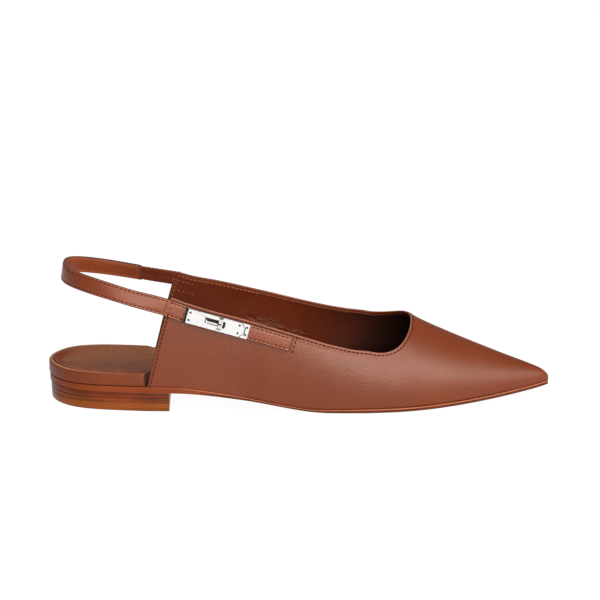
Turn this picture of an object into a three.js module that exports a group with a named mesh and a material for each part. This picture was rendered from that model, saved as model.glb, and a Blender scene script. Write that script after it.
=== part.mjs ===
// A slingback flat shoe for the right foot, with a pointed toe, a low stacked heel
// and a strap round the back of the heel that ends in a turn lock on the outer side.
//
// Lengths are in millimetres. X runs from the back of the heel to the toe tip,
// +Y is the inner side of the foot, +Z is up, and the floor is z = 0.

import * as THREE from 'three'

// Whole shoe
const LENGTH = 268
const HEEL_WIDTH = 57.4
const BALL_WIDTH = 72
const SWING = 5.3
const HEEL_SEAT_ALONG = 0.157

// Sole stack
const HEEL_BLOCK = 10
const HEEL_BREAST = 65
const HEEL_TAPER = 0.5
const HEEL_INSET = 0.8
const HEEL_EDGE = 3.5
const BALL_START = 150
const TREAD_END = 180
const TOE_SPRING = 4.5
const SOLE_SHOULDER = 0.4
const SOLE_BEVEL = 3
const SPRING_CURVE = 2.1
const PIECE_GAP = 0.3

// Footbed
const FOOTBED_HEEL = 6.8
const FOOTBED_FORE = 3
const FOOTBED_END = 250
const FOOTBED_ROUND = 20
const RIM_ROLL = 0.9
const DISH_DEPTH = 1.1
const DISH_EDGE = 4.2
const FOOTBED_STEP = 3

// Upper
const WALL = 1.6
const REAR_FOOT = 54.8
const REAR_LEAN = 13
const REAR_BLEND = 50
const REAR_SKEW = 1.4
const THROAT = 193.3
const THROAT_ARC = 23.3
const CREST = 44.9
const BULGE = 4
const FEATHER_INSET = 0.6

// Heel strap
const STRAP_WIDTH = 9
const STRAP_TIP_WIDTH = 8.1
const STRAP_THICK = 1.8
const STRAP_FRONT = 129.5
const STRAP_DROP = 2.2
const STRAP_LEAVES = 69
const LOOP_BACK = 9
const LOOP_SPAN = 31
const LOOP_SQUARE = 2.5
const LOOP_START = 56.5
const LOOP_JOIN = 44
const LOOP_TOP = 70.1
const LOOP_RISE = 11.6
const LOOP_LEAN = 21
const LOOP_LEAN_BACK = 8
const STRAP_INNER_END = 49
const LINK_WIDTH = 8.2
const LINK_THICK = 1.4

// Turn lock
const PLATE_LENGTH = 33.7
const PLATE_WIDTH = 7.8
const PLATE_THICK = 1
const PLATE_REAR = 74.6
const LOCK_CHAMFER = 0.3
const LOCK_CLEAR = 0.1
const COVER_LENGTH = 31.2
const COVER_CHAMFER = 2.4
const COVER_THICK = 0.8
const SLOT_LENGTH = 10.6
const SLOT_WIDTH = 2.8
const SLOT_START = 10
const SLOT_RISE = 0.4
const TOGGLE_LENGTH = 5.4
const TOGGLE_WIDTH = 2.3
const TOGGLE_HEIGHT = 1.5
const POST_RADIUS = 1.05
const TOGGLE_PLACE = 18.2

// How finely the curved pieces are divided
const OUTLINE_STEPS = 40
const UPPER_STEPS = 56
const UPPER_ROWS = 12
const STRAP_STEPS = 64
const STRAP_ROWS = 4
const ROUND_STEPS = 20

// Plan of the sole: share of the length, sideways place of the middle in shares of
// the swing, and half the width in shares of the ball width.
const PLAN = [
  { along: 0, middle: 0.45, half: 0 },
  { along: 0.026, middle: 0.43, half: 0.264 },
  { along: 0.045, middle: 0.38, half: 0.329 },
  { along: 0.075, middle: 0.23, half: 0.375 },
  { along: 0.112, middle: 0.04, half: 0.397 },
  { along: 0.157, middle: -0.26, half: 0.401 },
  { along: 0.201, middle: -0.57, half: 0.397 },
  { along: 0.239, middle: -0.72, half: 0.39 },
  { along: 0.317, middle: -0.94, half: 0.371 },
  { along: 0.373, middle: -1, half: 0.369 },
  { along: 0.448, middle: -0.9, half: 0.401 },
  { along: 0.522, middle: -0.6, half: 0.456 },
  { along: 0.578, middle: -0.38, half: 0.486 },
  { along: 0.634, middle: -0.19, half: 0.5 },
  { along: 0.69, middle: -0.04, half: 0.489 },
  { along: 0.746, middle: 0.09, half: 0.451 },
  { along: 0.802, middle: 0.21, half: 0.388 },
  { along: 0.858, middle: 0.32, half: 0.304 },
  { along: 0.907, middle: 0.41, half: 0.221 },
  { along: 0.948, middle: 0.49, half: 0.144 },
  { along: 0.978, middle: 0.55, half: 0.082 },
  { along: 0.994, middle: 0.57, half: 0.04 },
  { along: 1, middle: 0.57, half: 0 },
]

// Height of the visible sole edge, in shares of its height at the heel.
const EDGE = [
  { along: 0.2, high: 1 },
  { along: 0.24, high: 1 },
  { along: 0.3, high: 0.76 },
  { along: 0.366, high: 0.57 },
  { along: 0.433, high: 0.37 },
  { along: 0.5, high: 0.37 },
  { along: 0.56, high: 0.5 },
  { along: 0.634, high: 0.6 },
  { along: 1, high: 0.6 },
]

// Cross-section of the upper. Crest is the height of the arch over the foot in
// shares of the crest at the throat. Bulge and crown shape the outer and inner sides.
const SECTION = [
  { along: 0.201, crest: 2.12, outBulge: 0.4, inBulge: 1.1, outCrown: 0.96, inCrown: 1.15 },
  { along: 0.246, crest: 2.06, outBulge: 0.4, inBulge: 1.1, outCrown: 0.96, inCrown: 1.15 },
  { along: 0.336, crest: 1.88, outBulge: 0.4, inBulge: 1.1, outCrown: 0.92, inCrown: 1.1 },
  { along: 0.448, crest: 1.635, outBulge: 0.6, inBulge: 0.9, outCrown: 0.85, inCrown: 0.96 },
  { along: 0.56, crest: 1.37, outBulge: 0.85, inBulge: 0.85, outCrown: 0.74, inCrown: 0.8 },
  { along: 0.642, crest: 1.17, outBulge: 1, inBulge: 0.9, outCrown: 0.66, inCrown: 0.7 },
  { along: 0.69, crest: 1.05, outBulge: 1, inBulge: 0.9, outCrown: 0.62, inCrown: 0.64 },
  { along: 0.714, crest: 1, outBulge: 0.95, inBulge: 0.9, outCrown: 0.6, inCrown: 0.62 },
  { along: 0.746, crest: 0.9, outBulge: 0.9, inBulge: 0.85, outCrown: 0.6, inCrown: 0.6 },
  { along: 0.784, crest: 0.792, outBulge: 0.8, inBulge: 0.8, outCrown: 0.6, inCrown: 0.6 },
  { along: 0.862, crest: 0.593, outBulge: 0.5, inBulge: 0.5, outCrown: 0.6, inCrown: 0.6 },
  { along: 0.922, crest: 0.449, outBulge: 0.3, inBulge: 0.3, outCrown: 0.62, inCrown: 0.62 },
  { along: 0.963, crest: 0.354, outBulge: 0.15, inBulge: 0.15, outCrown: 0.66, inCrown: 0.66 },
  { along: 0.984, crest: 0.298, outBulge: 0.1, inBulge: 0.1, outCrown: 0.7, inCrown: 0.7 },
  { along: 0.994, crest: 0.252, outBulge: 0.05, inBulge: 0.05, outCrown: 0.7, inCrown: 0.7 },
  { along: 1, crest: 0.19, outBulge: 0, inBulge: 0, outCrown: 0.7, inCrown: 0.7 },
]

// Top edge of the upper, as a share of the way round the section from sole to crest.
const TOPLINE = [
  { along: 0.224, outer: 0.444, inner: 0.44 },
  { along: 0.246, outer: 0.438, inner: 0.446 },
  { along: 0.28, outer: 0.423, inner: 0.447 },
  { along: 0.336, outer: 0.416, inner: 0.465 },
  { along: 0.392, outer: 0.418, inner: 0.48 },
  { along: 0.448, outer: 0.419, inner: 0.489 },
  { along: 0.504, outer: 0.42, inner: 0.492 },
  { along: 0.56, outer: 0.412, inner: 0.497 },
  { along: 0.597, outer: 0.41, inner: 0.51 },
  { along: 0.634, outer: 0.424, inner: 0.543 },
]

const Side = { OUTER: -1, INNER: 1 }

// How square the round throat is on each side, two being an ellipse.
const THROAT_SQUARE = { [Side.OUTER]: 2.6, [Side.INNER]: 1.65 }

// How fast the heel strap climbs on each side, less being a straighter climb.
const LOOP_CLIMB = { [Side.OUTER]: 1.4, [Side.INNER]: 0.8 }

// Curves through the tables

function smoothstep(share) {
  const t = Math.min(1, Math.max(0, share))
  return t * t * (3 - 2 * t)
}

function mix(from, to, share) {
  return from + (to - from) * share
}

// Stretches both ends of the shoe, so that its round ends are followed closely.
function spread(along) {
  const t = Math.min(1, Math.max(0, along))
  return Math.acos(1 - 2 * t) / Math.PI
}

// Slope at each row of a table, kept from overshooting the rows beside it.
function rowSlopes(places, values) {
  const steps = []
  for (let i = 0; i + 1 < places.length; i += 1) {
    steps.push((values[i + 1] - values[i]) / (places[i + 1] - places[i]))
  }
  return places.map((place, i) => {
    if (i === 0) return steps[0]
    if (i === places.length - 1) return steps[i - 1]
    if (steps[i - 1] * steps[i] <= 0) return 0
    const before = places[i] - places[i - 1]
    const after = places[i + 1] - places[i]
    const first = 2 * after + before
    const second = after + 2 * before
    return (first + second) / (first / steps[i - 1] + second / steps[i])
  })
}

function curve(rows, column) {
  const places = rows.map((row) => spread(row.along))
  const values = rows.map((row) => row[column])
  const slopes = rowSlopes(places, values)
  return (along) => {
    const place = spread(along)
    const last = places.length - 1
    if (place <= places[0]) return values[0]
    if (place >= places[last]) return values[last]
    let i = 0
    while (places[i + 1] < place) i += 1
    const gap = places[i + 1] - places[i]
    const t = (place - places[i]) / gap
    const start = values[i] + t * gap * slopes[i]
    const rise = 3 * t * t - 2 * t * t * t
    const enter = t * t * t - 2 * t * t
    const leave = t * t * t - t * t
    return start + rise * (values[i + 1] - values[i]) + gap * (enter * slopes[i] + leave * slopes[i + 1])
  }
}

// The last: plan, sole heights and wall

const planMiddle = curve(PLAN, 'middle')
const planHalf = curve(PLAN, 'half')
const edgeHigh = curve(EDGE, 'high')
const crestShare = curve(SECTION, 'crest')
const bulgeShare = {
  [Side.OUTER]: curve(SECTION, 'outBulge'),
  [Side.INNER]: curve(SECTION, 'inBulge'),
}
const crownShare = {
  [Side.OUTER]: curve(SECTION, 'outCrown'),
  [Side.INNER]: curve(SECTION, 'inCrown'),
}
const toplineShare = {
  [Side.OUTER]: curve(TOPLINE, 'outer'),
  [Side.INNER]: curve(TOPLINE, 'inner'),
}

function middle(x) {
  return SWING * planMiddle(x / LENGTH)
}

// Half the width of the sole. The heel takes its own width, the rest the ball's.
function half(x) {
  const heelShare = 1 - smoothstep((x - HEEL_BREAST) / (BALL_START - HEEL_BREAST))
  const heelFullest = planHalf(HEEL_SEAT_ALONG) * 2
  const width = mix(BALL_WIDTH, HEEL_WIDTH / heelFullest, heelShare)
  return planHalf(x / LENGTH) * width
}

function edgeBottom(x) {
  const arch = HEEL_BLOCK * (1 - smoothstep((x - HEEL_BREAST) / (BALL_START - HEEL_BREAST)))
  const spring = Math.max(0, x - TREAD_END) / (LENGTH - TREAD_END)
  return arch + soleShoulder(x) + TOE_SPRING * spring ** SPRING_CURVE
}

// How far the middle of the sole hangs below its bevelled edge.
function soleShoulder(x) {
  const begins = smoothstep((x - HEEL_BREAST) / HEEL_BREAST)
  const waist = begins * (HEEL_EDGE * (1 - edgeHigh(x / LENGTH)))
  const fore = smoothstep((x - HEEL_BREAST) / (BALL_START - HEEL_BREAST))
  return mix(waist, SOLE_SHOULDER, fore) * begins
}

function feather(x) {
  return edgeBottom(x) + HEEL_EDGE * edgeHigh(x / LENGTH)
}

// Takes a cut off a size without ever bringing it to nothing.
function trimmed(size, cut) {
  if (cut <= 0) return size - cut * smoothstep(size / WALL)
  return size - cut * (1 - Math.exp(-size / cut))
}

// A point of the plan, moved in from the edge by a cut at the heel and at the toe.
function planPoint(side, x, cut, z, toeCut = cut) {
  const along = x / LENGTH
  const moved = x + cut * (1 - along) - toeCut * along
  const width = trimmed(half(x), mix(cut, toeCut, along))
  return new THREE.Vector3(moved, middle(x) + side * width, z)
}

// A point of the wall of the upper. Share runs from the sole edge to the crest.
// Inset moves the wall inwards, and a negative inset moves it outwards.
function wallPoint(side, x, share, inset) {
  const width = trimmed(half(x), FEATHER_INSET)
  const low = feather(x) + PIECE_GAP
  const high = CREST * crestShare(x / LENGTH) - low
  const reach = trimmed(width, inset)
  const height = trimmed(high, inset)
  const bulge = BULGE * bulgeShare[side](x / LENGTH) * Math.min(1, width / BULGE)
  const crown = crownShare[side](x / LENGTH) * reach
  const up = 1 - share
  const foot = up ** 3
  const belly = 3 * share * up ** 2
  const shoulder = 3 * share ** 2 * up
  const top = share ** 3
  const y = foot * reach + belly * (reach + bulge) + shoulder * crown
  const z = low + belly * height / 2 + (shoulder + top) * height
  return new THREE.Vector3(x, middle(x) + side * y, z)
}

// Share of the way round the section where the upper ends, one along the ridge.
function toplineAt(side, x) {
  const arcStart = THROAT - THROAT_ARC
  if (x <= arcStart) return toplineShare[side](x / LENGTH)
  if (x >= THROAT) return 1
  const t = (x - arcStart) / THROAT_ARC
  const square = THROAT_SQUARE[side]
  const fall = Math.max(0, 1 - t ** square) ** (1 / square)
  return 1 - (1 - toplineShare[side](arcStart / LENGTH)) * fall
}

// Share that lies a given distance below the top edge, measured along the wall.
function shareBelow(side, x, drop, inset) {
  const step = 0.004
  let share = toplineAt(side, x)
  let left = drop
  let from = wallPoint(side, x, share, inset)
  while (left > 0 && share > step) {
    const next = wallPoint(side, x, share - step, inset)
    const gap = from.distanceTo(next)
    if (gap >= left) return share - step * left / gap
    left -= gap
    share -= step
    from = next
  }
  return share
}

// Meshes

class Surface {
  constructor() {
    this.places = []
    this.keys = new Map()
    this.triangles = []
  }

  point(at) {
    const key = [at.x, at.y, at.z].map((value) => Math.round(value * 5000)).join(' ')
    if (!this.keys.has(key)) {
      this.keys.set(key, this.places.length)
      this.places.push(at.clone())
    }
    return this.keys.get(key)
  }

  triangle(a, b, c) {
    const corners = [this.point(a), this.point(b), this.point(c)]
    const [first, second, third] = corners
    if (first === second || second === third || first === third) return
    this.triangles.push(corners)
  }

  quad(a, b, c, d) {
    if (a.distanceTo(c) <= b.distanceTo(d)) {
      this.triangle(a, b, c)
      this.triangle(a, c, d)
    } else {
      this.triangle(a, b, d)
      this.triangle(b, c, d)
    }
  }

  grid(columns) {
    for (let i = 0; i + 1 < columns.length; i += 1) {
      for (let j = 0; j + 1 < columns[i].length; j += 1) {
        this.quad(columns[i][j], columns[i + 1][j], columns[i + 1][j + 1], columns[i][j + 1])
      }
    }
  }

  fan(ring, centre) {
    ring.forEach((at, i) => this.triangle(centre, at, ring[(i + 1) % ring.length]))
  }

  // Turns every triangle over when the body was wound inside out.
  volume() {
    let total = 0
    for (const [a, b, c] of this.triangles) {
      const across = this.places[b].clone().cross(this.places[c])
      total += this.places[a].dot(across) / 6
    }
    return total
  }

  geometry() {
    const outward = this.volume() >= 0
    const order = this.triangles.flatMap(([a, b, c]) => (outward ? [a, b, c] : [a, c, b]))
    const geometry = new THREE.BufferGeometry()
    const numbers = this.places.flatMap((at) => [at.x, at.y, at.z])
    geometry.setAttribute('position', new THREE.Float32BufferAttribute(numbers, 3))
    geometry.setIndex(order)
    geometry.computeVertexNormals()
    return geometry
  }
}

function centreOf(points) {
  const sum = points.reduce((total, at) => total.add(at), new THREE.Vector3())
  return sum.divideScalar(points.length)
}

// A ring that has shrunk to a line closes its body by itself.
function isOpen(ring) {
  const centre = centreOf(ring)
  const area = new THREE.Vector3()
  ring.forEach((at, i) => {
    const next = ring[(i + 1) % ring.length]
    area.add(at.clone().sub(centre).cross(next.clone().sub(centre)))
  })
  return area.length() > WALL * 0.01
}

// A body made of rings that follow each other, closed at both ends.
function loft(rings) {
  const surface = new Surface()
  const closed = rings.map((ring) => [...ring, ring[0]])
  surface.grid(closed)
  const first = rings[0]
  const last = [...rings[rings.length - 1]].reverse()
  if (isOpen(first)) surface.fan(first, centreOf(first))
  if (isOpen(last)) surface.fan(last, centreOf(last))
  return surface.geometry()
}

// Stations along the shoe, closer together at both ends.
function stations(from, to, count) {
  const places = []
  const start = spread(from / LENGTH)
  const end = spread(to / LENGTH)
  for (let i = 0; i <= count; i += 1) {
    const place = mix(start, end, i / count)
    places.push(LENGTH * (1 - Math.cos(place * Math.PI)) / 2)
  }
  places[0] = from
  places[count] = to
  return places
}

// Sole pieces

// Joins the two sides of a cross-section through a middle point below and above.
function closedRing(outer, inner) {
  const last = outer.length - 1
  const bottom = outer[0].clone().lerp(inner[0], 0.5)
  const top = outer[last].clone().lerp(inner[last], 0.5)
  return [bottom, ...outer, top, ...inner.reverse()]
}

// A ring across the sole: each row gives a cut and a height, from the bottom up.
function crossRing(x, rows) {
  const outer = rows.map((row) => planPoint(Side.OUTER, x, row.cut, row.z, row.toeCut))
  const inner = rows.map((row) => planPoint(Side.INNER, x, row.cut, row.z, row.toeCut))
  return closedRing(outer, inner)
}

function outsole() {
  const heel = stations(0, HEEL_BREAST, OUTLINE_STEPS / 2)
  const rest = stations(HEEL_BREAST, LENGTH, OUTLINE_STEPS).slice(1)
  const rings = [...heel, ...rest].map((x) => {
    const shoulder = soleShoulder(x)
    const cut = HEEL_INSET / 2
    const under = cut + SOLE_BEVEL * smoothstep(shoulder / SOLE_SHOULDER)
    return crossRing(x, [
      { cut: under, toeCut: SOLE_BEVEL / 2, z: edgeBottom(x) - shoulder },
      { cut, toeCut: 0, z: edgeBottom(x) },
      { cut, toeCut: 0, z: feather(x) },
    ])
  })
  return loft(rings)
}

// One lift of the heel block between two heights.
function heelLift(low, high) {
  const rings = stations(0, HEEL_BREAST, OUTLINE_STEPS / 2).map((x) => {
    return crossRing(x, [low, high].map((z) => {
      const taper = HEEL_TAPER * (HEEL_BLOCK - z) / HEEL_BLOCK
      const cut = HEEL_INSET + taper
      return { cut, toeCut: cut, z }
    }))
  })
  const breast = rings[rings.length - 1]
  breast.forEach((at) => { at.x = HEEL_BREAST })
  return loft(rings)
}

// Height of the footbed above the sole, thick in the heel and thin in front.
function footbedThick(x) {
  const share = smoothstep((x - REAR_FOOT) / (BALL_START - REAR_FOOT))
  return mix(FOOTBED_HEEL, FOOTBED_FORE, share)
}

// Each row of the footbed's section is set in from the edge and has a height.
function footbedRows(x) {
  const low = feather(x) + PIECE_GAP
  const high = low + footbedThick(x)
  return [
    { setIn: RIM_ROLL, z: low },
    { setIn: 0, z: low + RIM_ROLL },
    { setIn: 0, z: high - RIM_ROLL },
    { setIn: RIM_ROLL, z: high },
    { setIn: DISH_EDGE, z: high - DISH_DEPTH / 4 },
  ]
}

// The footbed shows its full width behind the upper and goes inside it further on.
function footbed() {
  const inside = FEATHER_INSET + WALL + 2 * PIECE_GAP
  const rings = footbedStations().map((x) => {
    const base = inside * smoothstep((x - stepStart()) / FOOTBED_STEP)
    const round = Math.max(0, x - FOOTBED_END + FOOTBED_ROUND) / FOOTBED_ROUND
    const close = Math.sqrt(Math.max(0, 1 - round * round))
    const place = (side, row) => {
      const width = close * trimmed(half(x), base + row.setIn)
      return new THREE.Vector3(x + row.setIn * (1 - x / LENGTH), middle(x) + side * width, row.z)
    }
    const rows = footbedRows(x)
    const outer = rows.map((row) => place(Side.OUTER, row))
    const inner = rows.map((row) => place(Side.INNER, row))
    const ring = closedRing(outer, inner)
    ring[rows.length + 1].z -= DISH_DEPTH * close * smoothstep(half(x) / DISH_EDGE - 1)
    return ring
  })
  return loft(rings)
}

// The footbed narrows just behind the rear edge of the upper.
function stepStart() {
  return REAR_FOOT - FOOTBED_STEP - PIECE_GAP * 3
}

function footbedStations() {
  const front = FOOTBED_END - FOOTBED_ROUND
  const behind = stations(0, stepStart(), OUTLINE_STEPS / 2)
  const step = [1, 2, 3].map((i) => stepStart() + FOOTBED_STEP * i / 3)
  const inside = stations(REAR_FOOT, front, OUTLINE_STEPS / 2)
  const round = []
  for (let i = 1; i <= 6; i += 1) round.push(front + FOOTBED_ROUND * Math.sin((i / 6) * Math.PI / 2))
  return [...behind, ...step, ...inside, ...round]
}

// Upper

// One column of the wall, from the sole edge up to the top edge or the ridge. The
// outer side reaches a little further back than the inner side.
function upperColumn(side, x, inset) {
  const column = []
  const rear = 1 - smoothstep((x - REAR_FOOT) / REAR_BLEND)
  const skew = side === Side.OUTER ? REAR_SKEW * rear : 0
  const toe = inset > 0 ? inset * smoothstep((x / LENGTH - 0.8) / 0.2) : 0
  for (let row = 0; row <= UPPER_ROWS; row += 1) {
    const up = row / UPPER_ROWS
    const place = x + REAR_LEAN * rear * up - skew
    const at = wallPoint(side, place, up * toplineAt(side, place), inset)
    at.x -= toe
    column.push(at)
  }
  return column
}

function upperStations() {
  const arcStart = THROAT - THROAT_ARC
  const behind = stations(REAR_FOOT, arcStart, UPPER_STEPS / 2 - 8)
  const arc = []
  for (let i = 1; i <= 9; i += 1) arc.push(arcStart + THROAT_ARC * Math.sin((i / 9) * Math.PI / 2))
  const front = stations(THROAT, LENGTH, UPPER_STEPS / 2 - 4).slice(1)
  return [...behind, ...arc, ...front]
}

function upper() {
  const places = upperStations()
  const sheet = (inset) => {
    const outer = places.map((x) => upperColumn(Side.OUTER, x, inset))
    const inner = places.map((x) => upperColumn(Side.INNER, x, inset))
    return [...outer, ...inner.reverse().slice(1)]
  }
  const outside = sheet(0)
  const inside = sheet(WALL)
  const surface = new Surface()
  surface.grid(outside)
  surface.grid([...inside].reverse())
  const ridge = (at) => Math.abs(at.y - middle(at.x)) < 1e-6 && at.x > THROAT
  const last = outside.length - 1
  for (let i = 0; i < last; i += 1) {
    surface.quad(inside[i][0], inside[i + 1][0], outside[i + 1][0], outside[i][0])
    const a = outside[i][UPPER_ROWS]
    const b = outside[i + 1][UPPER_ROWS]
    if (ridge(a) || ridge(b)) continue
    surface.quad(a, b, inside[i + 1][UPPER_ROWS], inside[i][UPPER_ROWS])
  }
  for (let row = 0; row < UPPER_ROWS; row += 1) {
    surface.quad(outside[0][row], outside[0][row + 1], inside[0][row + 1], inside[0][row])
    surface.quad(inside[last][row], inside[last][row + 1], outside[last][row + 1], outside[last][row])
  }
  return surface.geometry()
}

// Heel strap

// Share of the loop's depth and of its half span at a turn, squarer than an ellipse.
function loopShare(turn) {
  const power = 2 / LOOP_SQUARE
  const across = Math.cos(turn)
  return { deep: Math.sin(turn) ** power, wide: Math.sign(across) * Math.abs(across) ** power }
}

// Height of the strap's middle line round the back, lowest where it leaves the upper.
function loopHeight(turn) {
  const climb = turn < Math.PI / 2 ? LOOP_CLIMB[Side.OUTER] : LOOP_CLIMB[Side.INNER]
  return LOOP_TOP - LOOP_RISE * Math.max(0, 1 - loopShare(turn).deep) ** climb
}

// Frame of the loop at a turn: zero at the outer side, half a circle at the inner.
function loopFrame(turn) {
  const depth = LOOP_START - LOOP_BACK
  const { deep, wide } = loopShare(turn)
  const at = new THREE.Vector3(LOOP_START - depth * deep, -LOOP_SPAN * wide, loopHeight(turn))
  const bend = LOOP_SQUARE - 1
  const aside = Math.sign(wide) * Math.abs(wide) ** bend
  const out = new THREE.Vector3(-(deep ** bend) / depth, -aside / LOOP_SPAN, 0).normalize()
  const lean = THREE.MathUtils.degToRad(mix(LOOP_LEAN, LOOP_LEAN_BACK, deep))
  const across = out.clone().multiplyScalar(-Math.sin(lean))
  across.z = Math.cos(lean)
  out.multiplyScalar(Math.cos(lean)).z = Math.sin(lean)
  return { at, out, across }
}

// Section of a band: its inner and outer faces, with the corners taken off.
function bandRing(frame, width, thick) {
  const ring = []
  const corner = thick / 4
  const push = (across, out) => {
    const at = frame.at.clone()
    ring.push(at.addScaledVector(frame.across, across).addScaledVector(frame.out, out))
  }
  for (let i = 0; i <= STRAP_ROWS; i += 1) {
    push(mix(-width / 2 + corner, width / 2 - corner, i / STRAP_ROWS), thick / 2)
  }
  push(width / 2, thick / 2 - corner)
  push(width / 2, corner - thick / 2)
  for (let i = 0; i <= STRAP_ROWS; i += 1) {
    push(mix(width / 2 - corner, -width / 2 + corner, i / STRAP_ROWS), -thick / 2)
  }
  push(-width / 2, corner - thick / 2)
  push(-width / 2, thick / 2 - corner)
  return ring
}

// The strap narrows a little towards its front end.
function sideWidth(x) {
  return mix(STRAP_TIP_WIDTH, STRAP_WIDTH, smoothstep((STRAP_FRONT - x) / (STRAP_FRONT - STRAP_LEAVES)))
}

// Middle line of the strap where it lies on the outer side of the upper.
function sidePoint(x) {
  const inset = -PIECE_GAP - STRAP_THICK / 2
  const place = Math.max(x, REAR_FOOT)
  const share = shareBelow(Side.OUTER, place, STRAP_DROP + sideWidth(x) / 2, inset)
  return { at: wallPoint(Side.OUTER, place, share, inset), share, inset }
}

// Frame of the strap there: flat against the wall and square to its own run.
function sideFrame(x) {
  const { at, share, inset } = sidePoint(x)
  const along = sidePoint(x + 1).at.sub(sidePoint(x - 1).at).normalize()
  const reach = 0.05
  const across = wallPoint(Side.OUTER, x, share + reach, inset)
  across.sub(wallPoint(Side.OUTER, x, share - reach, inset))
  across.addScaledVector(along, -across.dot(along)).normalize()
  const out = along.clone().cross(across).normalize()
  if (out.y > 0) out.negate()
  return { at, out, across, width: sideWidth(x) }
}

// Frames of a bridge that leaves one frame and joins another without a kink.
function bridgeFrames(from, leave, to, arrive, count) {
  const frames = []
  const span = from.at.distanceTo(to.at)
  for (let i = 1; i < count; i += 1) {
    const t = i / count
    const at = from.at.clone().lerp(to.at, 3 * t * t - 2 * t * t * t)
    at.addScaledVector(leave, span * t * (1 - t) ** 2)
    at.addScaledVector(arrive, -span * t * t * (1 - t))
    const out = from.out.clone().lerp(to.out, smoothstep(t)).normalize()
    const across = from.across.clone().lerp(to.across, smoothstep(t))
    across.addScaledVector(out, -across.dot(out)).normalize()
    frames.push({ at, out, across })
  }
  return frames
}

// Turn of the loop at which its middle line is a given distance from the heel's back.
function turnAt(x) {
  return Math.asin(((LOOP_START - x) / (LOOP_START - LOOP_BACK)) ** (LOOP_SQUARE / 2))
}

// Frames of the whole strap, from its front end round the heel to its inner end.
function strapFrames() {
  const sideSteps = STRAP_STEPS / 4
  const side = []
  for (let i = 0; i <= sideSteps; i += 1) {
    side.push(sideFrame(mix(STRAP_FRONT, STRAP_LEAVES, i / sideSteps)))
  }
  const loop = []
  const first = turnAt(LOOP_JOIN)
  const last = Math.PI - turnAt(STRAP_INNER_END)
  for (let i = 0; i <= STRAP_STEPS / 2; i += 1) {
    loop.push(loopFrame(mix(first, last, 2 * i / STRAP_STEPS)))
  }
  const from = side[sideSteps]
  const leave = from.at.clone().sub(side[sideSteps - 1].at).normalize()
  const arrive = loop[1].at.clone().sub(loop[0].at).normalize()
  return [...side, ...bridgeFrames(from, leave, loop[0], arrive, 8), ...loop]
}

function heelStrap() {
  return loft(strapFrames().map((frame) => bandRing(frame, frame.width ?? STRAP_WIDTH, STRAP_THICK)))
}

// A point of the slanting rear edge of the upper.
function rearPoint(side, up, inset) {
  const x = REAR_FOOT + REAR_LEAN * up
  return wallPoint(side, x, up * toplineAt(side, x), inset)
}

// Frame where the elastic link meets the rear edge, slanted as that edge is.
function linkEnd(out) {
  const reach = LINK_WIDTH / (4 * LOOP_TOP)
  const up = 1 - STRAP_DROP / LOOP_TOP - 2 * reach
  const at = rearPoint(Side.INNER, up, WALL / 2)
  const across = rearPoint(Side.INNER, up + reach, WALL / 2)
  across.sub(rearPoint(Side.INNER, up - reach, WALL / 2)).normalize()
  at.x -= 2 * PIECE_GAP
  return { at, out, across }
}

// The elastic link between the strap's inner end and the rear edge of the upper.
function elasticLink() {
  const strap = strapFrames()
  const from = strap[strap.length - 1]
  const before = strap[strap.length - 2]
  const leave = from.at.clone().sub(before.at).normalize()
  const start = { ...from, at: from.at.clone().addScaledVector(leave, PIECE_GAP) }
  const end = linkEnd(from.out)
  const arrive = end.at.clone().sub(start.at).normalize()
  const frames = [start, ...bridgeFrames(start, leave, end, arrive, 10), end]
  return loft(frames.map((frame) => bandRing(frame, LINK_WIDTH, LINK_THICK)))
}

// Turn lock

// The plane of the lock: flat against the strap, clear of its highest point.
function lockFrame() {
  const rear = sideFrame(PLATE_REAR)
  const front = sideFrame(PLATE_REAR + PLATE_LENGTH * 0.985)
  const along = front.at.clone().sub(rear.at).normalize()
  const across = rear.across.clone().add(front.across)
  across.addScaledVector(along, -across.dot(along)).normalize()
  const out = along.clone().cross(across).normalize()
  if (out.y > 0) out.negate()
  let proud = 0
  for (let i = 0; i <= 12; i += 1) {
    const frame = sideFrame(mix(PLATE_REAR, PLATE_REAR + PLATE_LENGTH, i / 12))
    for (const at of bandRing(frame, STRAP_WIDTH, STRAP_THICK)) {
      proud = Math.max(proud, at.sub(rear.at).dot(out))
    }
  }
  const at = rear.at.clone().addScaledVector(out, proud + PIECE_GAP / 2)
  return { at, along, across, out }
}

// Places a flat shape in the plane of the lock and gives it a thickness.
function lockPlate(shape, base, thick) {
  const geometry = new THREE.ExtrudeGeometry(shape, { depth: thick, bevelEnabled: false })
  const lock = lockFrame()
  const up = lock.along.clone().cross(lock.across).dot(lock.out) > 0 ? 1 : -1
  if (up < 0) geometry.scale(1, -1, 1)
  const turn = new THREE.Matrix4()
  turn.makeBasis(lock.along, lock.across.clone().multiplyScalar(up), lock.out)
  turn.setPosition(lock.at.clone().addScaledVector(lock.out, base))
  geometry.applyMatrix4(turn)
  if (up < 0) return turned(geometry)
  return geometry
}

// Turns every face of a mirrored shape back outwards.
function turned(geometry) {
  const order = []
  const count = geometry.attributes.position.count
  for (let i = 0; i < count; i += 3) order.push(i, i + 2, i + 1)
  geometry.setIndex(order)
  return geometry
}

function basePlate() {
  const shape = new THREE.Shape()
  const side = PLATE_WIDTH / 2
  shape.moveTo(0, -side)
  shape.lineTo(PLATE_LENGTH, -side)
  shape.lineTo(PLATE_LENGTH, side)
  shape.lineTo(0, side)
  shape.closePath()
  return lockPlate(shape, 0, PLATE_THICK)
}

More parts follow.
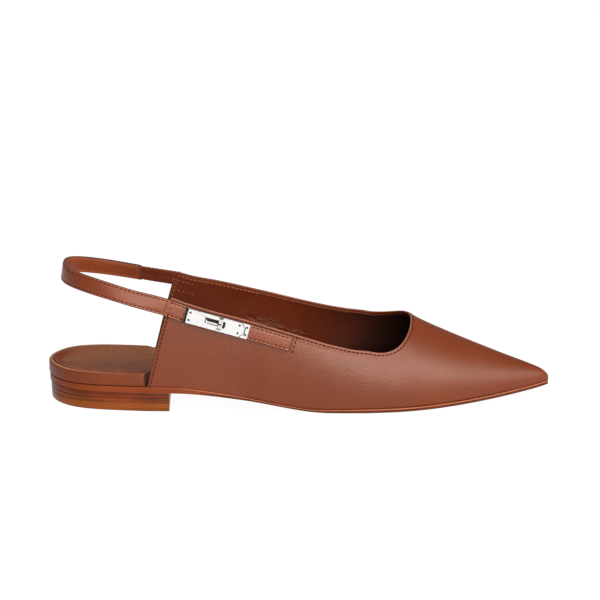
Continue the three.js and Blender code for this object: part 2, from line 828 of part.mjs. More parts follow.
function coverPlate() {
  const shape = new THREE.Shape()
  const side = PLATE_WIDTH / 2
  const nose = COVER_LENGTH - COVER_CHAMFER
  shape.moveTo(0, -side)
  shape.lineTo(nose, -side)
  shape.lineTo(COVER_LENGTH, -side + COVER_CHAMFER)
  shape.lineTo(COVER_LENGTH, side - COVER_CHAMFER)
  shape.lineTo(nose, side)
  shape.lineTo(0, side)
  shape.closePath()
  const slot = new THREE.Path()
  const radius = SLOT_WIDTH / 2
  const from = SLOT_START + radius
  const to = SLOT_START + SLOT_LENGTH - radius
  slot.moveTo(from, SLOT_RISE - radius)
  slot.absarc(from, SLOT_RISE, radius, -Math.PI / 2, Math.PI / 2, true)
  slot.absarc(to, SLOT_RISE, radius, Math.PI / 2, -Math.PI / 2, true)
  slot.closePath()
  shape.holes.push(slot)
  return lockPlate(shape, PLATE_THICK, COVER_THICK)
}

// The turning bar on its post, as one body turned across the plate.
function toggle() {
  const top = COVER_THICK + LOCK_CLEAR
  const surface = new Surface()
  const lock = lockFrame()
  const spot = (along, across, out) => {
    const at = lock.at.clone().addScaledVector(lock.along, TOGGLE_PLACE + along)
    at.addScaledVector(lock.across, SLOT_RISE + across)
    return at.addScaledVector(lock.out, PLATE_THICK + out)
  }
  const postRing = (out) => {
    const ring = []
    for (let i = 0; i < ROUND_STEPS; i += 1) {
      const turn = (i / ROUND_STEPS) * Math.PI * 2
      ring.push(spot(POST_RADIUS * Math.cos(turn), POST_RADIUS * Math.sin(turn), out))
    }
    return ring
  }
  const barRing = (out, shrink) => {
    const ring = []
    const reach = TOGGLE_LENGTH / 2 - TOGGLE_WIDTH / 2
    for (let i = 0; i < ROUND_STEPS; i += 1) {
      const turn = (i / ROUND_STEPS) * Math.PI * 2
      const radius = TOGGLE_WIDTH / 2 - shrink
      const shift = Math.sin(turn) >= 0 ? reach : -reach
      ring.push(spot(radius * Math.cos(turn), radius * Math.sin(turn) + shift, out))
    }
    return ring
  }
  const rings = [
    postRing(0),
    postRing(top),
    barRing(top, 0),
    barRing(top + TOGGLE_HEIGHT - LOCK_CHAMFER, 0),
    barRing(top + TOGGLE_HEIGHT, LOCK_CHAMFER),
  ]
  surface.grid(rings.map((ring) => [...ring, ring[0]]))
  surface.fan(rings[0], centreOf(rings[0]))
  surface.fan([...rings[4]].reverse(), centreOf(rings[4]))
  return surface.geometry()
}

// Assembly

const LEATHER = { color: 0x8c4a30, roughness: 0.42, metalness: 0 }
const LEATHER_LINING = { color: 0x6b2d16, roughness: 0.6, metalness: 0 }
const LEATHER_EDGE = { color: 0xa4562c, roughness: 0.45, metalness: 0 }
const STACKED = { color: 0x7a341c, roughness: 0.5, metalness: 0 }
const SILVER = { color: 0xcfcfd0, roughness: 0.22, metalness: 1 }
const SILVER_DARK = { color: 0xb8b8ba, roughness: 0.28, metalness: 1 }

function piece(name, geometry, look) {
  const mesh = new THREE.Mesh(geometry, new THREE.MeshStandardMaterial(look))
  mesh.name = name
  return mesh
}

const LIFT_ONE = HEEL_BLOCK * 0.7
const LIFT_TWO = HEEL_BLOCK * 0.44

const pieces = [
  piece('outsole', outsole(), LEATHER_EDGE),
  piece('heel_lift_1', heelLift(LIFT_ONE, HEEL_BLOCK), STACKED),
  piece('heel_lift_2', heelLift(LIFT_TWO, LIFT_ONE), STACKED),
  piece('heel_top_piece', heelLift(0, LIFT_TWO), LEATHER_EDGE),
  piece('insole', footbed(), LEATHER_LINING),
  piece('upper', upper(), LEATHER),
  piece('heel_strap', heelStrap(), LEATHER),
  piece('elastic_link', elasticLink(), LEATHER_LINING),
  piece('clasp_base_plate', basePlate(), SILVER_DARK),
  piece('clasp_cover_plate', coverPlate(), SILVER),
  piece('clasp_toggle', toggle(), SILVER),
]

// Moves the shoe so that the middle of its footprint is at the origin.
function centred(meshes) {
  const box = new THREE.Box3()
  for (const mesh of meshes) {
    mesh.geometry.computeBoundingBox()
    box.union(mesh.geometry.boundingBox)
  }
  const shift = box.getCenter(new THREE.Vector3())
  for (const mesh of meshes) mesh.geometry.translate(-shift.x, -shift.y, -box.min.z)
  return meshes
}

const group = new THREE.Group()
group.name = 'ballet_flat'
group.add(...centred(pieces))

export default group
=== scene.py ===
"""Dresses a pointed-toe slingback flat for rendering, over its CAD frame.

Sizes of the last are in millimetres, as a shoemaker gives them. Finished meshes are
in metres, in the frame's own axes: +X to the toe, +Y to the inner side, +Z up.
"""

import logging
import math
from dataclasses import dataclass
from enum import Enum
from typing import Sequence

import bmesh
import bpy
import numpy as np
from mathutils import Matrix, Vector
from mathutils.bvhtree import BVHTree
from mathutils.geometry import tessellate_polygon
from mathutils.kdtree import KDTree


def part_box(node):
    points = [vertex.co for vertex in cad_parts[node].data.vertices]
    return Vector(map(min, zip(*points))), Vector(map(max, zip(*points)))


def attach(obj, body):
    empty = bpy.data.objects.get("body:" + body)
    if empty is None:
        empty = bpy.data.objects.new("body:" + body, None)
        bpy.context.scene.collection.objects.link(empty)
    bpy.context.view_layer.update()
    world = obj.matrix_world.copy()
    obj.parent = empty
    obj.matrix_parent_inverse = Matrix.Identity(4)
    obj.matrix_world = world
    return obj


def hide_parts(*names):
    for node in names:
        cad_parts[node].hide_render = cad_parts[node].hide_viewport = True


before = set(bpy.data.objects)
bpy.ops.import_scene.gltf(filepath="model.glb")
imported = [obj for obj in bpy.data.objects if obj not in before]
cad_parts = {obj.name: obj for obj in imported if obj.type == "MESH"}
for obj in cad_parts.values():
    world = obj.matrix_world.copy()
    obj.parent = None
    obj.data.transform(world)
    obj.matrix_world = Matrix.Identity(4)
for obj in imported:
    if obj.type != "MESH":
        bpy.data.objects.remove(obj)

log = logging.getLogger("slingback")
MM = 0.001

Pair = tuple[float, float]
Triple = tuple[float, float, float]
Screen = tuple[int, int, int]
Object = bpy.types.Object
Material = bpy.types.Material
Socket = bpy.types.NodeSocket


class Side(Enum):
    """A side of the foot, with the sign of its Y."""

    OUTER = -1
    INNER = 1


# The last.


def smoothstep(share: np.ndarray) -> np.ndarray:
    """Return an S-shaped rise from 0 to 1 over shares 0 to 1."""
    t = np.clip(share, 0.0, 1.0)
    return t * t * (3.0 - 2.0 * t)


def mix(start: np.ndarray, end: np.ndarray, share: np.ndarray) -> np.ndarray:
    """Return the value a share of the way from start to end."""
    return start + (end - start) * share


def trimmed(size: np.ndarray, cut: np.ndarray, wall: float = 1.6) -> np.ndarray:
    """Take a cut off a size without bringing it to nothing.

    Args:
        size: Sizes to trim, in millimetres.
        cut: How much comes off; a negative cut adds.
        wall: Length over which an added cut fades in.

    Returns:
        The trimmed sizes.
    """
    size, cut = np.broadcast_arrays(np.asarray(size, float), np.asarray(cut, float))
    safe = np.where(cut > 1e-9, cut, 1.0)
    inward = size - cut * (1.0 - np.exp(-np.maximum(size, 0.0) / safe))
    outward = size - cut * smoothstep(size / wall)
    return np.where(cut > 1e-9, inward, outward)


class ShareCurve:
    """A smooth curve through a table of shares, drawn tighter at both ends."""

    def __init__(self, along: Sequence[float], values: Sequence[float]) -> None:
        """Fit slopes that never overshoot the rows beside them."""
        self.place = self.spread(np.array(along, float))
        self.value = np.array(values, float)
        step = np.diff(self.value) / np.diff(self.place)
        slope = np.zeros_like(self.value)
        slope[0], slope[-1] = step[0], step[-1]
        before, after = np.diff(self.place)[:-1], np.diff(self.place)[1:]
        first, second = 2 * after + before, after + 2 * before
        same = step[:-1] * step[1:] > 0
        left = np.where(same, step[:-1], 1.0)
        right = np.where(same, step[1:], 1.0)
        slope[1:-1] = np.where(same, (first + second) / (first / left + second / right), 0.0)
        self.slope = slope

    @staticmethod
    def spread(along: np.ndarray) -> np.ndarray:
        """Stretch both ends of the shoe, as its round ends need."""
        return np.arccos(1.0 - 2.0 * np.clip(along, 0.0, 1.0)) / math.pi

    def __call__(self, along: np.ndarray) -> np.ndarray:
        """Return the curve's values at shares of the shoe's length."""
        place = np.clip(self.spread(np.asarray(along, float)), self.place[0], self.place[-1])
        row = np.clip(np.searchsorted(self.place, place) - 1, 0, len(self.place) - 2)
        gap = self.place[row + 1] - self.place[row]
        t = (place - self.place[row]) / gap
        rise = 3 * t**2 - 2 * t**3
        start = self.value[row] + t * gap * self.slope[row]
        enter, leave = t**3 - 2 * t**2, t**3 - t**2
        change = rise * (self.value[row + 1] - self.value[row])
        return start + change + gap * (enter * self.slope[row] + leave * self.slope[row + 1])


# Plan of the sole: share of the length, middle in shares of the swing, half width in
# shares of the ball width.
PLAN = (
    (0, 0.45, 0), (0.026, 0.43, 0.264), (0.045, 0.38, 0.329), (0.075, 0.23, 0.375),
    (0.112, 0.04, 0.397), (0.157, -0.26, 0.401), (0.201, -0.57, 0.397),
    (0.239, -0.72, 0.39), (0.317, -0.94, 0.371), (0.373, -1, 0.369), (0.448, -0.9, 0.401),
    (0.522, -0.6, 0.456), (0.578, -0.38, 0.486), (0.634, -0.19, 0.5), (0.69, -0.04, 0.489),
    (0.746, 0.09, 0.451), (0.802, 0.21, 0.388), (0.858, 0.32, 0.304), (0.907, 0.41, 0.221),
    (0.948, 0.49, 0.144), (0.978, 0.55, 0.082), (0.994, 0.57, 0.04), (1, 0.57, 0),
)
# Height of the visible sole edge in shares of its height at the heel.
EDGE = (
    (0.2, 1), (0.24, 1), (0.3, 0.76), (0.366, 0.57), (0.433, 0.37), (0.5, 0.37),
    (0.56, 0.5), (0.634, 0.6), (1, 0.6),
)
# Section of the upper: share of the length, crest, outer and inner bulge, outer and
# inner crown.
SECTION = (
    (0.201, 2.12, 0.4, 1.1, 0.96, 1.15), (0.246, 2.06, 0.4, 1.1, 0.96, 1.15),
    (0.336, 1.88, 0.4, 1.1, 0.92, 1.1), (0.448, 1.635, 0.6, 0.9, 0.85, 0.96),
    (0.56, 1.37, 0.85, 0.85, 0.74, 0.8), (0.642, 1.17, 1, 0.9, 0.66, 0.7),
    (0.69, 1.05, 1, 0.9, 0.62, 0.64), (0.714, 1, 0.95, 0.9, 0.6, 0.62),
    (0.746, 0.9, 0.9, 0.85, 0.6, 0.6), (0.784, 0.792, 0.8, 0.8, 0.6, 0.6),
    (0.862, 0.593, 0.5, 0.5, 0.6, 0.6), (0.922, 0.449, 0.3, 0.3, 0.62, 0.62),
    (0.963, 0.354, 0.15, 0.15, 0.66, 0.66), (0.984, 0.298, 0.1, 0.1, 0.7, 0.7),
    (0.994, 0.252, 0.05, 0.05, 0.7, 0.7), (1, 0.19, 0, 0, 0.7, 0.7),
)
# Top edge of the upper: share of the length, outer and inner share up the section.
TOPLINE = (
    (0.224, 0.444, 0.44), (0.246, 0.438, 0.446), (0.28, 0.423, 0.447),
    (0.336, 0.416, 0.465), (0.392, 0.418, 0.48), (0.448, 0.419, 0.489),
    (0.504, 0.42, 0.492), (0.56, 0.412, 0.497), (0.597, 0.41, 0.51), (0.634, 0.424, 0.543),
)


def table_curve(rows: Sequence[tuple], column: int) -> ShareCurve:
    """Return the curve through one column of a table of shares."""
    return ShareCurve([row[0] for row in rows], [row[column] for row in rows])


@dataclass(frozen=True)
class Last:
    """The form that the shoe is made on, with its named sizes in millimetres."""

    length: float = 268.0
    heel_width: float = 57.4
    ball_width: float = 72.0
    swing: float = 5.3
    heel_seat_along: float = 0.157
    heel_block: float = 10.0
    heel_breast: float = 65.0
    heel_edge: float = 3.5
    ball_start: float = 150.0
    tread_end: float = 180.0
    toe_spring: float = 4.5
    spring_curve: float = 2.1
    sole_shoulder: float = 0.4
    piece_gap: float = 0.3
    wall: float = 1.6
    rear_foot: float = 54.8
    rear_lean: float = 13.0
    rear_blend: float = 50.0
    rear_skew: float = 1.4
    throat: float = 193.3
    throat_arc: float = 23.3
    throat_square: Pair = (2.6, 1.65)
    crest: float = 44.9
    bulge: float = 4.0
    feather_inset: float = 0.6
    toe_from: float = 0.8

    plan_middle: ShareCurve = table_curve(PLAN, 1)
    plan_half: ShareCurve = table_curve(PLAN, 2)
    edge_high: ShareCurve = table_curve(EDGE, 1)
    crest_share: ShareCurve = table_curve(SECTION, 1)
    bulges: tuple = (table_curve(SECTION, 2), table_curve(SECTION, 3))
    crowns: tuple = (table_curve(SECTION, 4), table_curve(SECTION, 5))
    toplines: tuple = (table_curve(TOPLINE, 1), table_curve(TOPLINE, 2))

    @staticmethod
    def pick(pair: tuple, side: Side) -> ShareCurve:
        """Return the member of a pair that belongs to a side."""
        return pair[0] if side is Side.OUTER else pair[1]

    def middle(self, x: np.ndarray) -> np.ndarray:
        """Return the sideways place of the sole's middle line."""
        return self.swing * self.plan_middle(np.asarray(x) / self.length)

    def half(self, x: np.ndarray) -> np.ndarray:
        """Return half the width of the sole, the heel with a width of its own."""
        x = np.asarray(x, float)
        span = self.ball_start - self.heel_breast
        heel_share = 1.0 - smoothstep((x - self.heel_breast) / span)
        fullest = self.plan_half(self.heel_seat_along) * 2.0
        width = mix(self.ball_width, self.heel_width / fullest, heel_share)
        return self.plan_half(x / self.length) * width

    def shoulder(self, x: np.ndarray) -> np.ndarray:
        """Return how far the sole's middle hangs below its bevelled edge."""
        x = np.asarray(x, float)
        begins = smoothstep((x - self.heel_breast) / self.heel_breast)
        waist = begins * self.heel_edge * (1.0 - self.edge_high(x / self.length))
        fore = smoothstep((x - self.heel_breast) / (self.ball_start - self.heel_breast))
        return mix(waist, self.sole_shoulder, fore) * begins

    def edge_bottom(self, x: np.ndarray) -> np.ndarray:
        """Return the height of the lower corner of the sole's edge."""
        x = np.asarray(x, float)
        span = self.ball_start - self.heel_breast
        arch = self.heel_block * (1.0 - smoothstep((x - self.heel_breast) / span))
        spring = np.maximum(0.0, x - self.tread_end) / (self.length - self.tread_end)
        return arch + self.shoulder(x) + self.toe_spring * spring**self.spring_curve

    def feather(self, x: np.ndarray) -> np.ndarray:
        """Return the height at which the upper meets the sole."""
        return self.edge_bottom(x) + self.heel_edge * self.edge_high(np.asarray(x) / self.length)

    def wall_point(self, side: Side, x: np.ndarray, share: np.ndarray, inset: float) -> np.ndarray:
        """Return points of the upper's wall.

        Args:
            side: Side of the foot.
            x: Distance from the back of the heel.
            share: Share of the way round the section from sole to crest.
            inset: How far inside the outer face; negative is outside it.

        Returns:
            Points with a last axis of three, in millimetres.
        """
        x, share = np.broadcast_arrays(np.asarray(x, float), np.asarray(share, float))
        along = x / self.length
        width = trimmed(self.half(x), self.feather_inset)
        low = self.feather(x) + self.piece_gap
        high = self.crest * self.crest_share(along) - low
        reach, height = trimmed(width, inset), trimmed(high, inset)
        bulge = self.bulge * self.pick(self.bulges, side)(along)
        bulge = bulge * np.minimum(1.0, width / self.bulge)
        crown = self.pick(self.crowns, side)(along) * reach
        up = 1.0 - share
        belly, shoulder = 3 * share * up**2, 3 * share**2 * up
        y = up**3 * reach + belly * (reach + bulge) + shoulder * crown
        z = low + belly * height / 2 + (shoulder + share**3) * height
        return np.stack([x, self.middle(x) + side.value * y, z], axis=-1)

    def toe_pull(self, x: np.ndarray, inset: float) -> np.ndarray:
        """Return how far an inset wall is drawn back from the toe, besides its width."""
        return inset * smoothstep((x / self.length - self.toe_from) / (1.0 - self.toe_from))

    def top_share(self, side: Side, x: np.ndarray, retreat: float = 0.0) -> np.ndarray:
        """Return the share of the section where the upper ends.

        Args:
            side: Side of the foot.
            x: Distance from the back of the heel.
            retreat: How far the edge is held back from the upper's own.

        Returns:
            Shares, one along the ridge in front of the throat.
        """
        x = np.asarray(x, float)
        start, throat = self.throat - self.throat_arc, self.throat + retreat
        place = np.minimum(x, start)
        curve = self.pick(self.toplines, side)(place / self.length)
        tiny = 0.002
        here = self.wall_point(side, place, curve, 0.0)
        below = self.wall_point(side, place, curve - tiny, 0.0)
        curve = curve - retreat * tiny / np.linalg.norm(here - below, axis=-1)
        t = np.clip((x - start) / (throat - start), 0.0, 1.0)
        square = self.throat_square[0 if side is Side.OUTER else 1]
        fall = np.maximum(0.0, 1.0 - t**square) ** (1.0 / square)
        return np.where(x >= throat, 1.0, 1.0 - (1.0 - curve) * fall)

    def share_below(self, side: Side, x: np.ndarray, drop: np.ndarray, inset: float) -> np.ndarray:
        """Return the shares that lie a distance below the top edge, along the wall."""
        x, drop = np.broadcast_arrays(np.asarray(x, float), np.asarray(drop, float))
        top = self.top_share(side, x)
        steps = np.linspace(0.0, 1.0, 241)[:, None]
        shares = top.ravel() * (1.0 - 0.9 * steps)
        points = self.wall_point(side, np.broadcast_to(x.ravel(), shares.shape), shares, inset)
        run = np.linalg.norm(np.diff(points, axis=0), axis=-1)
        walked = np.vstack([np.zeros((1, run.shape[1])), np.cumsum(run, axis=0)])
        found = [np.interp(d, w, s) for d, w, s in zip(drop.ravel(), walked.T, shares.T)]
        return np.array(found).reshape(x.shape)

    def stations(self, start: float, end: float, count: int) -> np.ndarray:
        """Return places along the shoe, closer together at both of its ends."""
        spread = ShareCurve.spread(np.array([start, end]) / self.length)
        places = np.linspace(spread[0], spread[1], count + 1)
        x = self.length * (1.0 - np.cos(places * math.pi)) / 2.0
        x[0], x[-1] = start, end
        return x


class Placing:
    """Moves points of the last to the frame's own axes, in metres."""

    def __init__(self, last: Last) -> None:
        """Read from the CAD upper how far the part was moved from the last."""
        low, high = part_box("upper")
        x = np.linspace(last.rear_foot, last.length, 2000)
        share = np.linspace(0.0, 1.0, 41)
        reach = [
            last.wall_point(side, x[:, None], share[None, :] * last.top_share(side, x)[:, None], 0)
            for side in Side
        ]
        left = min(points[..., 1].min() for points in reach)
        right = max(points[..., 1].max() for points in reach)
        self.shift = np.array(
            [
                last.length - high[0] / MM,
                (left + right) / 2.0 - (low[1] + high[1]) / (2.0 * MM),
                0.0,
            ]
        )

    def to_frame(self, points: np.ndarray) -> np.ndarray:
        """Return last points, in millimetres, as frame points in metres."""
        return (np.asarray(points) - self.shift) * MM

    def from_frame(self, points: np.ndarray) -> np.ndarray:
        """Return frame points, in metres, as last points in millimetres."""
        return np.asarray(points) / MM + self.shift


# Finishes.


class Graph:
    """A node tree, with short ways to add to it."""

    def __init__(self, tree: bpy.types.NodeTree) -> None:
        """Start from an empty tree."""
        self.tree = tree
        tree.nodes.clear()

    def fill(self, target: Socket, value: object) -> None:
        """Link a socket to an input, or set the input's plain value."""
        if isinstance(value, Socket):
            self.tree.links.new(value, target)
        else:
            target.default_value = (*value, 1.0) if target.type == "RGBA" else value

    def add(
        self, kind: str, inputs: dict | None = None, output: int | str = 0, **settings: object
    ) -> Socket:
        """Add a node.

        Args:
            kind: Type of the node.
            inputs: Sockets to link or values to set, by the name or number of an input.
            output: Name or number of the output that is wanted.
            settings: The node's own properties.

        Returns:
            The output.
        """
        node = self.tree.nodes.new(kind)
        for key, value in settings.items():
            setattr(node, key, value)
        for key, value in (inputs or {}).items():
            self.fill(node.inputs[key], value)
        return node.outputs[output]

    def math(self, operation: str, *values: Socket | float) -> Socket:
        """Return the result of a sum on one or two values."""
        return self.add("ShaderNodeMath", dict(enumerate(values)), operation=operation)


class Shader(Graph):
    """A material's node tree, with what the finishes share."""

    def __init__(self, name: str) -> None:
        """Start a material with one principled shader."""
        self.material = bpy.data.materials.new(name)
        self.material.use_nodes = True
        super().__init__(self.material.node_tree)
        light = self.add("ShaderNodeBsdfPrincipled")
        self.surface = light.node
        self.fill(self.tree.nodes.new("ShaderNodeOutputMaterial").inputs["Surface"], light)
        self.place = self.add("ShaderNodeTexCoord", output="Object")

    def set(self, values: dict[str, object]) -> None:
        """Set or link the shader's own sockets by name."""
        for name, value in values.items():
            self.fill(self.surface.inputs[name], value)

    def stretched(self, scale: Sequence[float], tilt: float = 0.0) -> Socket:
        """Return Object coordinates tilted in the shoe's side view, then scaled."""
        inputs = {"Scale": [1.0 / size for size in scale], "Rotation": (0.0, tilt, 0.0)}
        return self.add("ShaderNodeMapping", {**inputs, "Vector": self.place}, vector_type="TEXTURE")

    def noise(self, scale: float, detail: float = 2.0, place: Socket | None = None) -> Socket:
        """Return a noise pattern of a given scale per metre."""
        inputs = {"Scale": scale, "Detail": detail, "Vector": place or self.place}
        return self.add("ShaderNodeTexNoise", inputs)

    def cells(self, scale: float) -> Socket:
        """Return the distance to the nearest cell of a pebble pattern."""
        inputs = {"Scale": scale, "Vector": self.place}
        return self.add("ShaderNodeTexVoronoi", inputs, feature="SMOOTH_F1")

    def mapped(self, source: Socket, span: Pair, to: Pair = (0.0, 1.0)) -> Socket:
        """Return a value mapped smoothly from one span to another."""
        names = ("Value", "From Min", "From Max", "To Min", "To Max")
        inputs = dict(zip(names, (source, *span, *to)))
        return self.add("ShaderNodeMapRange", inputs, interpolation_type="SMOOTHSTEP")

    def attribute(self, name: str) -> Socket:
        """Return a value stored on the mesh's own points."""
        return self.add("ShaderNodeAttribute", output="Fac", attribute_name=name)

    def blended(self, share: Socket, first: Triple | Socket, second: Triple | Socket) -> Socket:
        """Return a colour between two colours, by a share from 0 to 1."""
        inputs = {"Factor": share, 6: first, 7: second}
        return self.add("ShaderNodeMix", inputs, output=2, data_type="RGBA")

    def bump(self, height: Socket, distance: float) -> None:
        """Add a relief under whatever relief the surface already has."""
        inputs = {"Strength": 1.0, "Distance": distance, "Height": height}
        normal = self.surface.inputs["Normal"]
        if normal.is_linked:
            inputs["Normal"] = normal.links[0].from_socket
        self.fill(normal, self.add("ShaderNodeBump", inputs))


def linear(screen: Screen) -> Triple:
    """Return a screen colour, 0 to 255 a channel, as linear light."""
    parts = [c / 255.0 for c in screen]
    return tuple(c / 12.92 if c <= 0.04045 else ((c + 0.055) / 1.055) ** 2.4 for c in parts)


@dataclass(frozen=True)
class LeatherFinish:
    """Smooth calf leather with a fine grain and a satin polish."""

    name: str
    colour: Screen
    deep: Screen
    # Edge colour: painted edges, and painted shade on the lining, the footbed rim and the sock.
    edge: Screen
    roughness: float
    gloss: float
    # Lighter tone for rubbing on edges and for painted highlight on beads and seams.
    worn_and_highlight: Screen = (184, 116, 87)
    painted_roughness: float = 0.85
    grain: float = 900.0
    grain_depth: float = 0.0001
    crease_depth: float = 0.0
    crease_scale: Triple = (110.0, 110.0, 620.0)
    crease_tilt: float = math.radians(24.0)

    def build(self) -> Material:
        """Return the leather: lighter where rubbing and painted highlight mark it, dark along painted
        edges and where shade is painted.
        """
        shader = Shader(self.name)
        painted = shader.attribute("painted")
        cloud = shader.mapped(shader.noise(28.0, 3.0), (0.35, 0.65))
        tone = shader.blended(cloud, linear(self.colour), linear(self.deep))
        # Lighter where the mesh marks rubbing and painted highlight.
        tone = shader.blended(shader.attribute("rubbed_and_highlight"), tone, linear(self.worn_and_highlight))
        shine = shader.mapped(shader.noise(90.0), (0.3, 0.7), (-0.015, 0.02))
        soft = shader.mapped(painted, (0.0, 1.0), (self.roughness, self.painted_roughness))
        shader.set({
            "Base Color": shader.blended(painted, tone, linear(self.edge)),
            "Roughness": shader.math("ADD", shine, soft),
            "Specular IOR Level": self.gloss,
        })
        pores = shader.math("MULTIPLY", shader.cells(self.grain), 0.7)
        fine = shader.math("MULTIPLY", shader.noise(self.grain * 1.7, 3.0), 0.6)
        shader.bump(shader.math("ADD", pores, fine), self.grain_depth)
        if self.crease_depth:
            run = shader.stretched(self.crease_scale, self.crease_tilt)
            folds = shader.mapped(shader.noise(1.0, 2.0, run), (0.4, 0.62))
            folds = shader.math("MULTIPLY", folds, shader.attribute("wrinkled"))
            shader.bump(folds, self.crease_depth)
        return shader.material


@dataclass(frozen=True)
class StackFinish:
    """Burnished layers of leather, seen edge on."""

    name: str
    light: Screen
    dark: Screen
    layer_scale: Triple = (16.0, 16.0, 1500.0)
    streak_scale: Triple = (70.0, 70.0, 260.0)
    relief: float = 0.00006
    roughness: float = 0.38
    gloss: float = 0.14

    def build(self) -> Material:
        """Return thin level layers that waver a little along the edge."""
        shader, dark = Shader(self.name), linear(self.dark)
        layer = shader.noise(1.0, 3.0, shader.stretched(self.layer_scale))
        streak = shader.noise(1.0, 2.0, shader.stretched(self.streak_scale))
        parts = (shader.math("MULTIPLY", layer, 0.6), shader.math("MULTIPLY", streak, 0.4))
        share = shader.mapped(shader.math("ADD", *parts), (0.36, 0.64))
        tone = shader.blended(share, dark, linear(self.light))
        shader.set({
            "Base Color": shader.blended(shader.attribute("painted"), tone, dark),
            "Roughness": self.roughness,
            "Specular IOR Level": self.gloss,
        })
        shader.bump(layer, self.relief)
        return shader.material


@dataclass(frozen=True)
class MetalFinish:
    """Polished or finely brushed plated metal."""

    name: str
    colour: Triple
    roughness: float
    brushing: Triple = (250.0, 4000.0, 4000.0)

    def build(self) -> Material:
        """Return the metal, with a faint brushing along the plate."""
        shader = Shader(self.name)
        brushed = shader.noise(1.0, 2.0, shader.stretched(self.brushing))
        spread = shader.mapped(brushed, (0.3, 0.7), (-0.015, 0.02))
        roughness = shader.math("ADD", spread, self.roughness)
        shader.set({"Base Color": self.colour, "Metallic": 1.0, "Roughness": roughness})
        return shader.material


@dataclass(frozen=True)
class PlainFinish:
    """An even colour with one gloss."""

    name: str
    colour: Triple
    roughness: float = 0.6
    gloss: float = 0.5
    glow: float = 0.0

    def build(self) -> Material:
        """Return the plain material."""
        shader = Shader(self.name)
        shader.set({
            "Base Color": self.colour, "Roughness": self.roughness,
            "Specular IOR Level": self.gloss,
        })
        if self.glow:
            shader.set({"Emission Color": (1.0, 1.0, 1.0), "Emission Strength": self.glow})
        return shader.material


class Finishes:
    """Every finish of the shoe, built once."""

    def __init__(self) -> None:
        """Build each finish from its colours."""
        self.upper = LeatherFinish(
            "cognac calf", (115, 49, 14), (109, 46, 12), (86, 40, 25), 0.42, 0.32
        ).build()
        self.strap = LeatherFinish(
            "strap calf", (124, 55, 21), (116, 50, 18), (82, 33, 20), 0.42, 0.32
        ).build()
        # The lining's edge colour serves only as painted shade toward the toe.
        self.lining = LeatherFinish(
            "lining calf", (100, 40, 16), (91, 35, 13), (17, 8, 4), 0.45, 0.15,
            crease_depth=0.00045,
        ).build()
        # The rim's edge colour is painted shade, in the seam and in the notch at the upper.
        self.rim = LeatherFinish(
            "footbed wrap", (120, 56, 27), (110, 50, 23), (42, 20, 13), 0.42, 0.2
        ).build()
        # The sock's edge colour is painted shade in the seam round it.
        self.sock = LeatherFinish(
            "sock calf", (124, 53, 22), (113, 47, 18), (34, 15, 9), 0.26, 0.18,
            grain_depth=0.00003,
        ).build()
        self.elastic = LeatherFinish(
            "gathered elastic", (128, 55, 27), (105, 43, 20), (42, 18, 12), 0.5, 0.15
        ).build()
        self.sole = LeatherFinish(
            "sole edge", (138, 62, 21), (122, 54, 18), (72, 33, 17), 0.42, 0.16,
            grain=1200.0, grain_depth=0.00005,
        ).build()
        self.lifts = (
            StackFinish("dark lift", (126, 53, 19), (80, 34, 14)).build(),
            StackFinish("lined lift", (136, 63, 23), (88, 41, 16)).build(),
            StackFinish("top piece", (145, 72, 23), (111, 61, 20)).build(),
        )
        self.thread = PlainFinish("thread", linear((74, 21, 13)), 0.7, 0.1).build()
        self.golden_thread = PlainFinish("light thread", linear((150, 75, 33)), 0.6, 0.15).build()
        self.plate = MetalFinish("silver plate", (0.33, 0.365, 0.395), 0.38).build()
        self.polished = MetalFinish("polished silver", (0.6, 0.61, 0.61), 0.2).build()
        # Near-black sheets laid where there is only shade in the lock: painted shade.
        self.shadow_sheet = PlainFinish("slot shadow", (0.006, 0.006, 0.007), 0.5, 0.1).build()


# Mesh making.


def placed(name: str, data: bpy.types.ID) -> Object:
    """Return a new object of the scene that holds some data."""
    obj = bpy.data.objects.new(name, data)
    bpy.context.scene.collection.objects.link(obj)
    return obj


